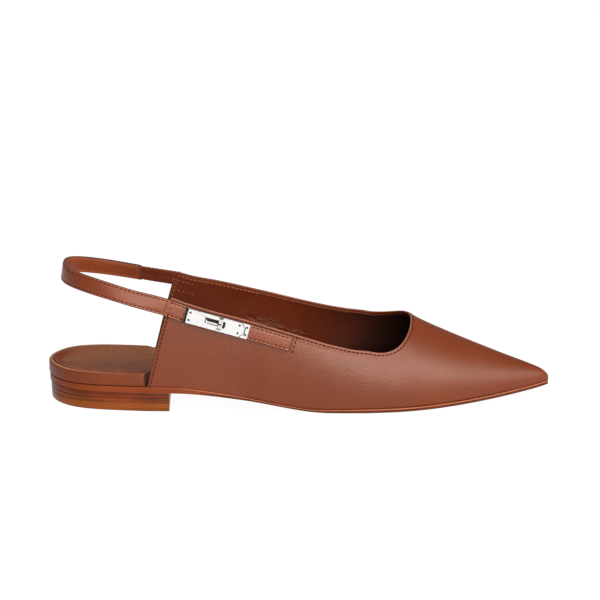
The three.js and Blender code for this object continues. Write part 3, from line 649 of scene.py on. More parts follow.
class Body:
    """A mesh under construction, whose points weld where they coincide."""

    welds_per_mm: float = 2000.0
    least_cap: float = 0.01
    sharp_from: float = math.radians(50)

    def __init__(self) -> None:
        """Start with no points."""
        self.keys: dict[tuple, int] = {}
        self.points: list[np.ndarray] = []
        self.faces: list[tuple[int, ...]] = []
        self.marks: dict[str, dict[int, float]] = {}

    def point(self, at: np.ndarray, **marks: float) -> int:
        """Return the index of a point, adding it if it is new."""
        key = tuple(np.round(np.asarray(at) * self.welds_per_mm).astype(int))
        if key not in self.keys:
            self.keys[key] = len(self.points)
            self.points.append(np.asarray(at, float))
        index = self.keys[key]
        for name, value in marks.items():
            self.marks.setdefault(name, {})[index] = value
        return index

    def face(self, *corners: int) -> None:
        """Add a face, dropping corners that welded together."""
        kept = [c for i, c in enumerate(corners) if c != corners[i - 1]]
        if len(set(kept)) == len(kept) and len(kept) >= 3:
            self.faces.append(tuple(kept))

    def grid(self, points: np.ndarray, marks: dict[str, np.ndarray] | None = None) -> np.ndarray:
        """Add a grid of faces.

        Args:
            points: Array of columns by rows by three.
            marks: Values for each point, by name.

        Returns:
            Indices of the grid's points.
        """
        marks = marks or {}
        index = np.zeros(points.shape[:2], int)
        for i in range(points.shape[0]):
            for j in range(points.shape[1]):
                own = {name: float(values[i, j]) for name, values in marks.items()}
                index[i, j] = self.point(points[i, j], **own)
        for i in range(points.shape[0] - 1):
            for j in range(points.shape[1] - 1):
                self.face(index[i, j], index[i + 1, j], index[i + 1, j + 1], index[i, j + 1])
        return index

    def loft(self, rings: np.ndarray, marks: dict[str, np.ndarray] | None = None) -> None:
        """Add a closed body through rings of points, capped at both ends."""
        closed = np.concatenate([rings, rings[:, :1]], axis=1)
        wrapped = {
            name: np.concatenate([values, values[:, :1]], axis=1)
            for name, values in (marks or {}).items()
        }
        index = self.grid(closed, wrapped)
        for ring, step in ((index[0, :-1], 1), (index[-1, :-1], -1)):
            if len(set(ring)) > 2 and self.area(ring) > self.least_cap:
                centre = self.point(np.mean([self.points[i] for i in ring], axis=0))
                order = list(ring)[::step]
                for a, b in zip(order, order[1:] + order[:1]):
                    self.face(centre, a, b)

    def area(self, ring: Sequence[int]) -> float:
        """Return the area that a ring of points encloses."""
        points = np.array([self.points[i] for i in ring])
        around = points - points.mean(axis=0)
        return float(np.linalg.norm(np.cross(around, np.roll(around, -1, axis=0)).sum(axis=0)))

    def build(
        self, name: str, placing: Placing, material: Material, inward: bool = False
    ) -> Object:
        """Return the finished object, smooth and with its faces turned outwards.

        Args:
            name: Name of the object.
            placing: Takes the points from the last to the frame.
            material: Finish of the whole piece.
            inward: Whether its faces look into the shoe instead.

        Returns:
            The object, linked to the scene.
        """
        points = placing.to_frame(np.array(self.points))
        mesh = bpy.data.meshes.new(name)
        mesh.from_pydata(points.tolist(), [], self.faces)
        mesh.update()
        for mark, values in self.marks.items():
            layer = mesh.attributes.new(mark, "FLOAT", "POINT")
            numbers = np.zeros(len(points), np.float32)
            for index, value in values.items():
                numbers[index] = value
            layer.data.foreach_set("value", numbers)
        mesh.materials.append(material)
        tidy = bmesh.new()
        tidy.from_mesh(mesh)
        bmesh.ops.recalc_face_normals(tidy, faces=tidy.faces)
        if inward:
            bmesh.ops.reverse_faces(tidy, faces=tidy.faces)
        tidy.to_mesh(mesh)
        tidy.free()
        mesh.shade_smooth()
        mesh.set_sharp_from_angle(angle=self.sharp_from)
        return placed(name, mesh)


def hand_over(obj: Object, nodes: Sequence[str]) -> None:
    """Give a finished piece to the frame.

    Args:
        obj: The piece.
        nodes: CAD nodes that it stands for.
    """
    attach(obj, "root")
    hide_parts(*nodes)
    log.info("%s: %d faces, for %s", obj.name, len(obj.data.polygons), ", ".join(nodes) or "trim")


@dataclass
class Piece:
    """A sub-assembly of the shoe, with what every one of them is built from."""

    last: Last
    placing: Placing
    looks: Finishes

    def dress(
        self, body: Body, name: str, look: Material, node: str, slot: str, inward: bool = False
    ) -> Object:
        """Build a body as a finished piece and give it to the frame.

        Args:
            body: The mesh that was made.
            name: Name of the piece.
            look: Its finish.
            node: CAD node that it stands for.
            slot: Not used.
            inward: Whether its faces look into the shoe.

        Returns:
            The piece.
        """
        obj = body.build(name, self.placing, look, inward)
        hand_over(obj, (node,))
        return obj


def settle(obj: Object) -> Object:
    """Turn an object's modifiers into plain mesh."""
    view = bpy.context.evaluated_depsgraph_get()
    mesh = bpy.data.meshes.new_from_object(obj.evaluated_get(view))
    obj.modifiers.clear()
    old = obj.data
    obj.data = mesh
    mesh.name = obj.name
    if isinstance(old, bpy.types.Mesh):
        bpy.data.meshes.remove(old)
    return obj


# Repeated pieces.


class NodeRecipe(Graph):
    """A Geometry Nodes tree built in the script, with named inputs."""

    def __init__(self, name: str) -> None:
        """Start a tree with a geometry input and output."""
        super().__init__(bpy.data.node_groups.new(name, "GeometryNodeTree"))
        self.sockets: dict[str, str] = {}
        for way in ("INPUT", "OUTPUT"):
            self.tree.interface.new_socket("Geometry", in_out=way, socket_type="NodeSocketGeometry")
        self.start = self.tree.nodes.new("NodeGroupInput")
        self.source = self.start.outputs["Geometry"]

    def input(self, name: str, kind: str = "NodeSocketFloat") -> Socket:
        """Add a named input and return its socket inside the tree."""
        socket = self.tree.interface.new_socket(name, in_out="INPUT", socket_type=kind)
        self.sockets[name] = socket.identifier
        return self.start.outputs[name]

    def stored(self, name: str, kind: str) -> Socket:
        """Return values stored on the mesh's own points."""
        return self.add("GeometryNodeInputNamedAttribute", {"Name": name}, data_type=kind)

    def ball(self, segments: int, rings: int, size: Sequence[Socket]) -> Socket:
        """Return a ball drawn out to a size on each axis."""
        inputs = {"Segments": segments, "Rings": rings, "Radius": 1.0}
        ball = self.add("GeometryNodeMeshUVSphere", inputs)
        scale = self.add("ShaderNodeCombineXYZ", dict(zip("XYZ", size)))
        return self.add("GeometryNodeTransform", {"Geometry": ball, "Scale": scale})

    def laid(self, points: Socket, piece: Socket, turn: Socket) -> Socket:
        """Return a piece laid at each of some points."""
        inputs = {"Points": points, "Instance": piece, "Rotation": turn}
        return self.add("GeometryNodeInstanceOnPoints", inputs)

    def finish(self, geometry: Socket) -> None:
        """End the tree in real geometry with its material set."""
        for kind in ("GeometryNodeRealizeInstances", "GeometryNodeSetShadeSmooth"):
            geometry = self.add(kind, {"Geometry": geometry})
        inputs = {"Geometry": geometry, "Material": self.input("Material", "NodeSocketMaterial")}
        end = self.tree.nodes.new("NodeGroupOutput")
        self.fill(end.inputs["Geometry"], self.add("GeometryNodeSetMaterial", inputs))

    def apply(self, obj: Object, **values: object) -> Object:
        """Run the tree on an object and leave a plain mesh."""
        modifier = obj.modifiers.new(self.tree.name, "NODES")
        modifier.node_group = self.tree
        for name, value in values.items():
            modifier[self.sockets[name.replace("_", " ").title()]] = value
        return settle(obj)


class StitchRecipe(NodeRecipe):
    """Sews a row of slightly slanting stitches along the edges of a mesh line."""

    def __init__(self) -> None:
        """Build the tree: resample the line, lay a stitch at each step."""
        super().__init__("sewn row")
        pitch, length, thread, slant = map(self.input, ("Pitch", "Length", "Thread", "Slant"))
        seed = self.input("Seed", "NodeSocketInt")
        curve = self.add("GeometryNodeMeshToCurve", {"Mesh": self.source})
        inputs = {"Curve": curve, "Length": pitch}
        steps = self.add("GeometryNodeResampleCurve", inputs, mode="LENGTH")
        stitch = self.ball(8, 6, (self.math("MULTIPLY", length, 0.5), thread, thread))
        run = self.add("GeometryNodeInputTangent")
        ahead = self.add("FunctionNodeAlignRotationToVector", {"Vector": run}, axis="X")
        inputs = {"Rotation": ahead, "Vector": self.stored("lift", "FLOAT_VECTOR")}
        facing = self.add("FunctionNodeAlignRotationToVector", inputs, axis="Z", pivot_axis="X")
        inputs = {2: 0.7, 3: 1.3, "Seed": seed}
        chance = self.add("FunctionNodeRandomValue", inputs, output=1, data_type="FLOAT")
        turn = self.add("ShaderNodeCombineXYZ", {"Z": self.math("MULTIPLY", slant, chance)})
        tilt = self.add("FunctionNodeEulerToRotation", {"Euler": turn})
        inputs = {"Rotation": facing, "Rotate By": tilt}
        both = self.add("FunctionNodeRotateRotation", inputs, rotation_space="LOCAL")
        self.finish(self.laid(steps, stitch, both))


class PleatRecipe(NodeRecipe):
    """Gathers a band into soft pleats that run across it."""

    def __init__(self) -> None:
        """Build the tree: push the band's faces out and in along its length."""
        super().__init__("gathered band")
        depth, count, wander = map(self.input, ("Depth", "Pleats", "Wander"))
        inputs = {"Scale": 320.0, "Detail": 1.0, "Vector": self.add("GeometryNodeInputPosition")}
        noise = self.add("ShaderNodeTexNoise", inputs, noise_dimensions="3D")
        turns = self.math("MULTIPLY", self.stored("along", "FLOAT"), count)
        phase = self.math("ADD", turns, self.math("MULTIPLY", noise, wander))
        sine = self.math("SINE", self.math("MULTIPLY", phase, 2.0 * math.pi))
        inputs = {0: self.add("GeometryNodeInputNormal"), "Scale": self.math("MULTIPLY", sine, depth)}
        move = self.add("ShaderNodeVectorMath", inputs, operation="SCALE")
        self.finish(self.add("GeometryNodeSetPosition", {"Geometry": self.source, "Offset": move}))


class PinRecipe(NodeRecipe):
    """Sets a round-headed pin at each point of a mesh, square to its face."""

    def __init__(self) -> None:
        """Build the tree: one flattened ball at each point."""
        super().__init__("pin heads")
        radius, dome = map(self.input, ("Radius", "Dome"))
        inputs = {"Vector": self.input("Facing", "NodeSocketVector")}
        turn = self.add("FunctionNodeAlignRotationToVector", inputs, axis="Z")
        self.finish(self.laid(self.source, self.ball(20, 10, (radius, radius, dome)), turn))


def walked(path: np.ndarray) -> np.ndarray:
    """Return how far along a line each of its points lies."""
    return np.r_[0.0, np.cumsum(np.linalg.norm(np.diff(path, axis=0), axis=1))]


def between(places: np.ndarray, run: np.ndarray, rows: np.ndarray) -> np.ndarray:
    """Return rows of three values read off at places along a run."""
    return np.stack([np.interp(places, run, rows[:, k]) for k in range(3)], 1)


def unit(vectors: np.ndarray) -> np.ndarray:
    """Return vectors at length one."""
    return vectors / np.linalg.norm(vectors, axis=-1, keepdims=True)


@dataclass
class SewnRow:
    """A line of stitches: its points on the surface and the way each faces."""

    points: np.ndarray
    facing: np.ndarray

    def resampled(self, step: float = 0.4) -> "SewnRow":
        """Return the row with even spacing, in millimetres."""
        run = walked(self.points)
        places = np.linspace(0.0, run[-1], max(2, int(run[-1] / step)))
        return SewnRow(between(places, run, self.points), unit(between(places, run, self.facing)))


@dataclass
class Sewing:
    """Sews rows of stitches, all of one thread."""

    placing: Placing
    recipe: StitchRecipe
    pitch: float = 2.25
    length: float = 1.8
    thread: float = 0.34
    sink: float = 0.1
    slant: float = 0.14
    seed: int = 7

    def sew(
        self, name: str, rows: Sequence[SewnRow], material: Material, slot: str,
        nodes: Sequence[str],
    ) -> None:
        """Sew some rows as one piece, the thread's middle sunk in the leather.

        Args:
            name: Name of the piece.
            rows: The rows, in millimetres of the last.
            material: Finish of the thread.
            slot: Not used.
            nodes: CAD nodes of the leather that the rows are sewn in.
        """
        points, edges, lifts = [], [], []
        for row in rows:
            even = row.resampled()
            base = len(points)
            points.extend(self.placing.to_frame(even.points - even.facing * self.sink).tolist())
            lifts.extend(even.facing.tolist())
            edges.extend((base + i, base + i + 1) for i in range(len(even.points) - 1))
        mesh = bpy.data.meshes.new(name)
        mesh.from_pydata(points, edges, [])
        layer = mesh.attributes.new("lift", "FLOAT_VECTOR", "POINT")
        layer.data.foreach_set("vector", np.array(lifts, np.float32).ravel())
        obj = placed(name, mesh)
        self.recipe.apply(
            obj, pitch=self.pitch * MM, length=self.length * MM, thread=self.thread * MM,
            slant=self.slant, seed=self.seed, material=material,
        )
        hand_over(obj, nodes)


# Upper.


@dataclass(frozen=True)
class Sheet:
    """The wall of the upper as columns of points, at one depth below its outer face."""

    last: Last
    inset: float = 0.0
    retreat: float = 0.0
    fine: int = 1
    rows: int = 36
    side_columns: int = 56
    arc_columns: int = 24

    def places(self) -> np.ndarray:
        """Return where the columns stand, from the rear edge to the toe."""
        last, start = self.last, self.last.throat - self.last.throat_arc
        throat = last.throat + self.retreat
        behind = np.linspace(last.rear_foot + self.retreat, start, self.side_columns * self.fine + 1)
        turn = np.linspace(0.0, math.pi / 2, self.arc_columns * self.fine + 1)[1:]
        arc = start + (throat - start) * np.sin(turn)
        return np.r_[behind, arc, last.stations(throat, last.length, self.side_columns)[1:]]

    def columns(self, side: Side) -> np.ndarray:
        """Return one side's points, as columns by rows by three."""
        last, x = self.last, self.places()[:, None]
        ups = np.linspace(0.0, 1.0, self.rows * self.fine + 1)[None, :]
        rear = 1.0 - smoothstep((x - last.rear_foot) / last.rear_blend)
        skew = last.rear_skew if side is Side.OUTER else 0.0
        place = x + last.rear_lean * rear * ups - skew * rear
        share = ups * last.top_share(side, place, self.retreat)
        points = last.wall_point(side, place, share, self.inset)
        points[..., 0] -= last.toe_pull(x, self.inset)
        return points

    def wrapped(self) -> np.ndarray:
        """Return both sides as one grid that runs round the toe."""
        return np.concatenate([self.columns(Side.OUTER), self.columns(Side.INNER)[-2::-1]])

    def edge(self) -> np.ndarray:
        """Return the free edge: up the outer rear, round the top, down the inner rear."""
        outer, inner = self.columns(Side.OUTER), self.columns(Side.INNER)
        throat = (self.side_columns + self.arc_columns) * self.fine
        top = [outer[1 : throat + 1, -1], inner[throat - 1 : 0 : -1, -1]]
        return np.concatenate([outer[0], *top, inner[0, ::-1]])


def evenly(path: np.ndarray, step: float) -> np.ndarray:
    """Return a line's points at even spacing, in millimetres."""
    run = walked(path)
    return between(np.linspace(0.0, run[-1], int(run[-1] / step) + 1), run, path)


def softened(values: np.ndarray, width: float) -> np.ndarray:
    """Return rows of values averaged with their neighbours, the ends held."""
    reach = int(math.ceil(3 * width))
    weight = np.exp(-0.5 * (np.arange(-reach, reach + 1) / width) ** 2)
    before = 2 * values[0] - values[reach:0:-1]
    after = 2 * values[-1] - values[-2 : -reach - 2 : -1]
    longer = np.concatenate([before, values, after])
    weight /= weight.sum()
    return np.stack([np.convolve(longer[:, k], weight, "valid") for k in range(3)], 1)


class EdgePath:
    """The upper's free edge with rounded corners, and lines that run beside it."""

    softening: float = 1.6
    core_height: float = 15.0
    reach_kept: float = 0.97

    def __init__(self, last: Last, step: float = 0.5) -> None:
        """Follow the edge and note the way out of the leather at each point."""
        self.last = last
        guide = Sheet(last, fine=2).wrapped()
        count, rows = guide.shape[:2]
        corner = np.arange(count * rows).reshape(count, rows)
        quads = np.stack([corner[:-1, :-1], corner[1:, :-1], corner[1:, 1:], corner[:-1, 1:]], -1)
        self.skin = BVHTree.FromPolygons(guide.reshape(-1, 3).tolist(), quads.reshape(-1, 4).tolist())
        path = softened(evenly(Sheet(last, fine=3).edge(), step), self.softening)
        self.points, self.normals = self.laid(path)
        along = unit(np.gradient(self.points, axis=0))
        self.out = unit(np.cross(along, self.normals))
        inside = self.points[len(path) // 4] + np.array([0.0, 0.0, -5.0])
        if np.dot(self.out[len(path) // 4], inside - self.points[len(path) // 4]) > 0:
            self.out = -self.out
        self.tree = KDTree(len(self.points))
        for index, point in enumerate(self.points):
            self.tree.insert(point, index)
        self.tree.balance()

    def laid(self, path: np.ndarray) -> tuple[np.ndarray, np.ndarray]:
        """Return the nearest points of the outer face and the way it faces there."""
        points, normals = [], []
        for place in path:
            on, normal, _, _ = self.skin.find_nearest(Vector(place))
            core = Vector((on.x, float(self.last.middle(on.x)), self.core_height))
            points.append(on)
            normals.append(normal if (on - core).dot(normal) > 0 else -normal)
        return np.array(points), unit(softened(np.array(normals), self.softening))

    def beside(self, inward: float, height: float) -> tuple[np.ndarray, np.ndarray]:
        """Return a line beside the edge.

        Args:
            inward: Distance from the edge, in millimetres.
            height: Distance off the outer face, less than zero below it.

        Returns:
            The line's points and the way the leather faces at each.
        """
        raw = self.points - self.out * inward
        if inward > 0.6:
            near = np.array([self.tree.find(point)[2] for point in raw])
            good = np.flatnonzero(near > self.reach_kept * inward)
            raw = between(np.arange(len(raw)), good, raw[good])
        on, normal = self.laid(raw)
        return on + normal * height, normal

    def row(self, inward: float, height: float, start: float = 0.0, end: float = 1.0) -> SewnRow:
        """Return a row of stitches beside a share of the edge."""
        points, normal = self.beside(inward, height)
        first, last = int(start * len(points)), int(end * len(points))
        facing = normal if height > -0.5 else -normal
        return SewnRow(points[first:last], facing[first:last])

    def nearest(self, x: float, side: Side) -> float:
        """Return the share of the edge nearest a place along one side's top."""
        share = self.last.top_share(side, np.array(x))
        at = self.last.wall_point(side, np.array(x), share, 0.0)
        return self.tree.find(at)[1] / len(self.points)


@dataclass(frozen=True)
class Crease:
    """A soft ridge on the inner side of the lining, from one (x, z) place to another."""

    start: Pair
    end: Pair
    depth: float
    width: float

    def lift(self, points: np.ndarray) -> np.ndarray:
        """Return how far the ridge lifts each of some points."""
        begin, span = np.array(self.start), np.subtract(self.end, self.start)
        away = points[..., (0, 2)] - begin
        share = away @ span / (span @ span)
        aside = (away[..., 0] * span[1] - away[..., 1] * span[0]) / math.hypot(*span)
        ends = np.clip(share, 0.0, 1.0) * (1.0 - np.clip(share, 0.0, 1.0)) * 4.0
        bow = aside - 0.8 * np.sin(share * math.pi * 2.0)
        return self.depth * np.sqrt(ends) * np.exp(-((bow / self.width) ** 2))


@dataclass
class Upper(Piece):
    """The leather upper, its folded and stitched edge and its lining."""

    sewing: Sewing
    hem: float = 2.4
    fold: float = 0.5
    bead: float = 0.13
    groove: float = -0.06
    stitch_inset: float = 1.5
    stitch_lift: float = 0.06
    lining_row: float = 2.1
    lining_row_lift: float = 0.1
    lining_depth: float = 1.12
    lining_retreat: float = 1.0
    tuck: tuple = ((4.0, 0.28), (1.2, 0.28), (0.5, 0.24), (0.16, 0.12))
    # Share of the lighter tone on the bead rows: painted highlight along the topline bead, with rubbing.
    shine: tuple = (0.08, 0.3, 0.35, 0.2, 0.05)
    rear_dark: float = 0.6
    rear_fade: float = 0.012
    # Where the lining's painted shade toward the toe begins and where it is full.
    painted_toe_shade: Pair = (124.0, 204.0)
    # Where the lining row turns to the dark thread toward the throat: painted shade of the throat.
    throat_shade_from: float = 112.0
    link_rows: tuple = (3.9, 9.6)
    link_reach: Pair = (66.5, 76.5)
    creases: tuple = (
        Crease((102.0, 41.5), (126.0, 30.5), 0.16, 1.3),
        Crease((106.0, 37.0), (135.0, 24.5), 0.24, 1.5),
        Crease((112.0, 32.0), (131.0, 22.5), 0.2, 1.4),
        Crease((118.0, 32.5), (141.0, 24.0), 0.16, 1.3),
        Crease((98.0, 38.5), (114.0, 30.5), 0.16, 1.3),
    )

    def rear_share(self) -> np.ndarray:
        """Return how much each point of the edge belongs to the rear, from 0 to 1."""
        corner = self.last.rear_foot + self.last.rear_lean
        index = np.arange(len(self.edge.points)) / len(self.edge.points)
        first, last = (self.edge.nearest(corner, side) for side in Side)
        fade = self.rear_fade
        before = smoothstep((first - fade / 3 - index) / fade)
        return np.maximum(before, smoothstep((index - last - fade / 3) / fade))

    def build(self) -> None:
        """Build every piece of the upper."""
        self.edge = EdgePath(self.last)
        self.shell()
        self.folded_edge()
        self.lining()
        self.stitches()

    def shell(self) -> None:
        """Build the outer leather, tucked under along the sole."""
        sheet = Sheet(self.last, retreat=self.hem)
        grid = sheet.wrapped()
        under = []
        for inward, down in self.tuck:
            row = []
            for side in Side:
                x = sheet.columns(side)[:, 0, 0]
                points = self.last.wall_point(side, x, 0.0, inward)
                points[:, 0] -= self.last.toe_pull(x, inward)
                points[:, 2] -= down
                row.append(points)
            under.append(np.concatenate([row[0], row[1][-2::-1]]))
        body = Body()
        body.grid(np.concatenate([np.stack(under, 1), grid], axis=1))
        self.dress(body, "upper_shell", self.looks.upper, "upper", "upper_leather")

    def folded_edge(self) -> None:
        """Build the turned edge, with a bead outside its stitch groove."""
        flat = (
            (3.7, -0.12), (3.3, -0.03), (2.8, 0.06), (2.3, 0.11), (1.95, 0.08), (1.7, -0.02),
            (self.stitch_inset, self.groove), (1.3, -0.02), (1.05, 0.08), (0.8, self.bead),
        )
        turns = np.linspace(0.0, math.pi, 9)
        core = self.bead - self.fold
        roll = [(self.fold * (1 - math.sin(t)), core + self.fold * math.cos(t)) for t in turns]
        under = ((1.4, core - self.fold), (3.0, core - self.fold - 0.03))
        rows = [self.edge.beside(inward, height)[0] for inward, height in (*flat, *roll, *under)]
        rear = self.rear_share()[:, None]
        bead, dark = np.zeros((2, len(rows)))
        # Painted highlight on the turned bead, held off the rear edge, which takes edge paint instead.
        bead[len(flat) - 1 :][: len(self.shine)] = self.shine
        dark[len(flat) :] = self.rear_dark
        dark[len(flat) :][:4] = np.linspace(0.0, self.rear_dark, 4)
        body = Body()
        body.grid(np.stack(rows, 1), {"rubbed_and_highlight": bead * (1 - rear), "painted": dark * rear})
        self.dress(body, "upper_edge", self.looks.upper, "upper", "upper_leather")

    def lining(self) -> None:
        """Build the lining, cut a little short of the folded edge."""
        wall, depth, retreat = self.last.wall, self.lining_depth, self.lining_retreat
        sheet = Sheet(self.last, inset=wall, retreat=retreat + 0.15, fine=2)
        body = Body()
        grid = sheet.wrapped()
        far = grid[..., 1] > self.last.middle(grid[..., 0])
        grid[..., 1] -= np.where(far, sum(crease.lift(grid) for crease in self.creases), 0.0)
        # Painted shade on the lining, deepening toward the toe inside the throat.
        painted_toe_shade = smoothstep((grid[..., 0] - self.painted_toe_shade[0]) / (self.painted_toe_shade[1] - self.painted_toe_shade[0]))
        near = sum(crease.lift(grid) / crease.depth for crease in self.creases)
        body.grid(grid, {"painted": painted_toe_shade, "wrinkled": np.where(far, np.minimum(near, 1.0), 0.0)})
        rim = [sheet.edge()]
        for inset, held in ((wall - 0.12, retreat), (depth, retreat), (depth, retreat + 1.5)):
            rim.append(Sheet(self.last, inset=inset, retreat=held, fine=2).edge())
        body.grid(np.stack(rim, 1))
        self.dress(body, "upper_lining", self.looks.lining, "upper", "lining_leather", inward=True)

    def stitches(self) -> None:
        """Sew round the top and the rear edges, outside and on the lining."""
        edge, looks = self.edge, self.looks
        inside = self.last.wall + self.lining_row_lift
        under = (self.lining_row, -inside)
        first, last = (edge.nearest(self.throat_shade_from, side) for side in Side)
        light = [edge.row(*under, end=first), edge.row(*under, start=last)]
        x = np.linspace(*self.link_reach, 12)
        for drop in self.link_rows:
            share = self.last.share_below(Side.INNER, x, np.full_like(x, drop), self.last.wall)
            line = self.last.wall_point(Side.INNER, x, share, inside)
            light.append(SewnRow(line, np.tile([0.0, -1.0, 0.0], (len(x), 1))))
        top = [edge.row(self.stitch_inset, self.stitch_lift)]
        # The lining row round the throat is sewn in the dark thread: painted shade of the throat.
        throat = [edge.row(*under, start=first, end=last)]
        for name, rows, look, slot in (
            ("upper_stitches", top, looks.thread, "upper_leather"),
            ("lining_stitches", light, looks.golden_thread, "lining_leather"),
            ("throat_stitches_shaded", throat, looks.thread, "lining_leather"),
        ):
            self.sewing.sew(name, rows, look, slot, ("upper",))


# Sole and footbed.


def closed_rings(outer: np.ndarray, inner: np.ndarray) -> np.ndarray:
    """Return rings up one side and down the other, closed through the middle line."""
    bottom, top = (outer[:, :1] + inner[:, :1]) / 2, (outer[:, -1:] + inner[:, -1:]) / 2
    return np.concatenate([bottom, outer, top, inner[:, ::-1]], axis=1)


def ring_values(rows: Sequence[float], bottom: float = 0.0, top: float = 0.0) -> np.ndarray:
    """Return a value for each point of a closed ring, from a value for each row."""
    return np.array([bottom, *rows, top, *rows[::-1]])


def across_rings(
    last: Last, x: np.ndarray, rows: Sequence[tuple[np.ndarray, np.ndarray, np.ndarray]]
) -> np.ndarray:
    """Return rings across the sole.

    Args:
        last: The last.
        x: Places of the rings.
        rows: From the bottom up: cut at the heel, cut at the toe, height.

    Returns:
        Rings by points by three, closed through the middle line.
    """
    along = x / last.length
    sides = []
    for side in Side:
        lines = []
        for cut, toe_cut, z in rows:
            cut, toe_cut, z = (np.broadcast_to(v, x.shape) for v in (cut, toe_cut, z))
            moved = x + cut * (1 - along) - toe_cut * along
            width = trimmed(last.half(x), mix(cut, toe_cut, along))
            lines.append(np.stack([moved, last.middle(x) + side.value * width, z], -1))
        sides.append(np.stack(lines, 1))
    return closed_rings(*sides)


@dataclass
class SoleStack(Piece):
    """The outsole with its lip, and the lifts of the stacked heel."""

    heel_inset: float = 0.8
    heel_taper: float = 0.5
    sole_bevel: float = 3.0
    lip_share: float = 0.6
    lip_starts: float = 30.0
    edge_dark: float = 0.75
    lip_rubbed: float = 0.6
    joint_dark: float = 0.6
    lifts: tuple = (
        ("heel_lift_1", 7.0, 10.0), ("heel_lift_2", 4.4, 7.0), ("heel_top_piece", 0.0, 4.4),
    )

    def build(self) -> None:
        """Build the outsole and each lift."""
        self.outsole()
        for (node, low, high), look in zip(self.lifts, self.looks.lifts):
            self.lift(node, low, high, look)

    def outsole(self) -> None:
        """Build the outsole, with a groove under its lip in front of the heel."""
        last = self.last
        heel = last.stations(0.0, last.heel_breast, 50)
        x = np.r_[heel, last.stations(last.heel_breast, last.length, 130)[1:]]
        fore = smoothstep((x - last.heel_breast) / self.lip_starts)
        low, high, shoulder = last.edge_bottom(x), last.feather(x), last.shoulder(x)
        cut = self.heel_inset / 2
        under = cut + self.sole_bevel * smoothstep(shoulder / last.sole_shoulder)
        tall, lip = high - low, self.lip_share
        step, groove = 0.12 * fore, 0.34 * fore
        # Cut at the heel, cut at the toe, height, share of edge paint.
        table = (
            (under, self.sole_bevel / 2, low - shoulder, 1.0),
            (cut + 0.3 + step, 0.3, low - 0.02 * fore, 1.0),
            (cut + 0.06 + step, 0.06, low + 0.12, 1.0),
            (cut + step, step, low + 0.25 * tall, 1.0),
            (cut + step, step, low + (lip - 0.08) * tall, 1.0),
            (cut + groove, groove, low + lip * tall, 1.0),
            (cut + 0.04 * fore, 0.04, low + (lip + 0.07) * tall, 0.2),
            (cut, 0.0, low + (lip + 0.14) * tall, 0.0),
            (cut, 0.0, high - 0.2, 0.0),
            (cut + 0.08, 0.08, high - 0.06, 0.0),
            (cut + 0.3, 0.3, high, 0.3),
            (cut + 3.0, 3.0, high, 0.3),
        )
        rings = across_rings(last, x, [row[:3] for row in table])
        shades = [row[3] for row in table]
        painted = fore[:, None] * ring_values(shades, shades[0], shades[-1]) * self.edge_dark
        lip_rows = ring_values(np.isin(np.arange(len(table)), (7, 8, 9)) * self.lip_rubbed)
        body = Body()
        body.loft(rings, {"painted": painted, "rubbed_and_highlight": fore[:, None] * lip_rows})
        self.dress(body, "sole_layer", self.looks.sole, "outsole", "sole_edge")

    def lift(self, node: str, low: float, high: float, look: Material) -> None:
        """Build one lift with its edges just taken off.

        Args:
            node: CAD node that it stands for.
            low: Height of its underside.
            high: Height of its top.
            look: Its finish.
        """
        last = self.last
        x = last.stations(0.0, last.heel_breast, 60)
        rows = []
        for z, extra in (
            (low, 0.9), (low, 0.22), (low + 0.07, 0.07), (low + 0.2, 0.0), (high - 0.2, 0.0),
            (high - 0.07, 0.07), (high, 0.22), (high, 0.9),
        ):
            cut = self.heel_inset + self.heel_taper * (last.heel_block - z) / last.heel_block
            rows.append((cut + extra, cut + extra, z))
        rings = across_rings(last, x, rows)
        rings[-1, :, 0] = last.heel_breast
        shade = ring_values(np.isin(np.arange(len(rows)), (1, 2, 5, 6)) * self.joint_dark)
        body = Body()
        body.loft(rings, {"painted": np.broadcast_to(shade, rings.shape[:2])})
        self.dress(body, node + "_leather", look, node, "heel_stack")


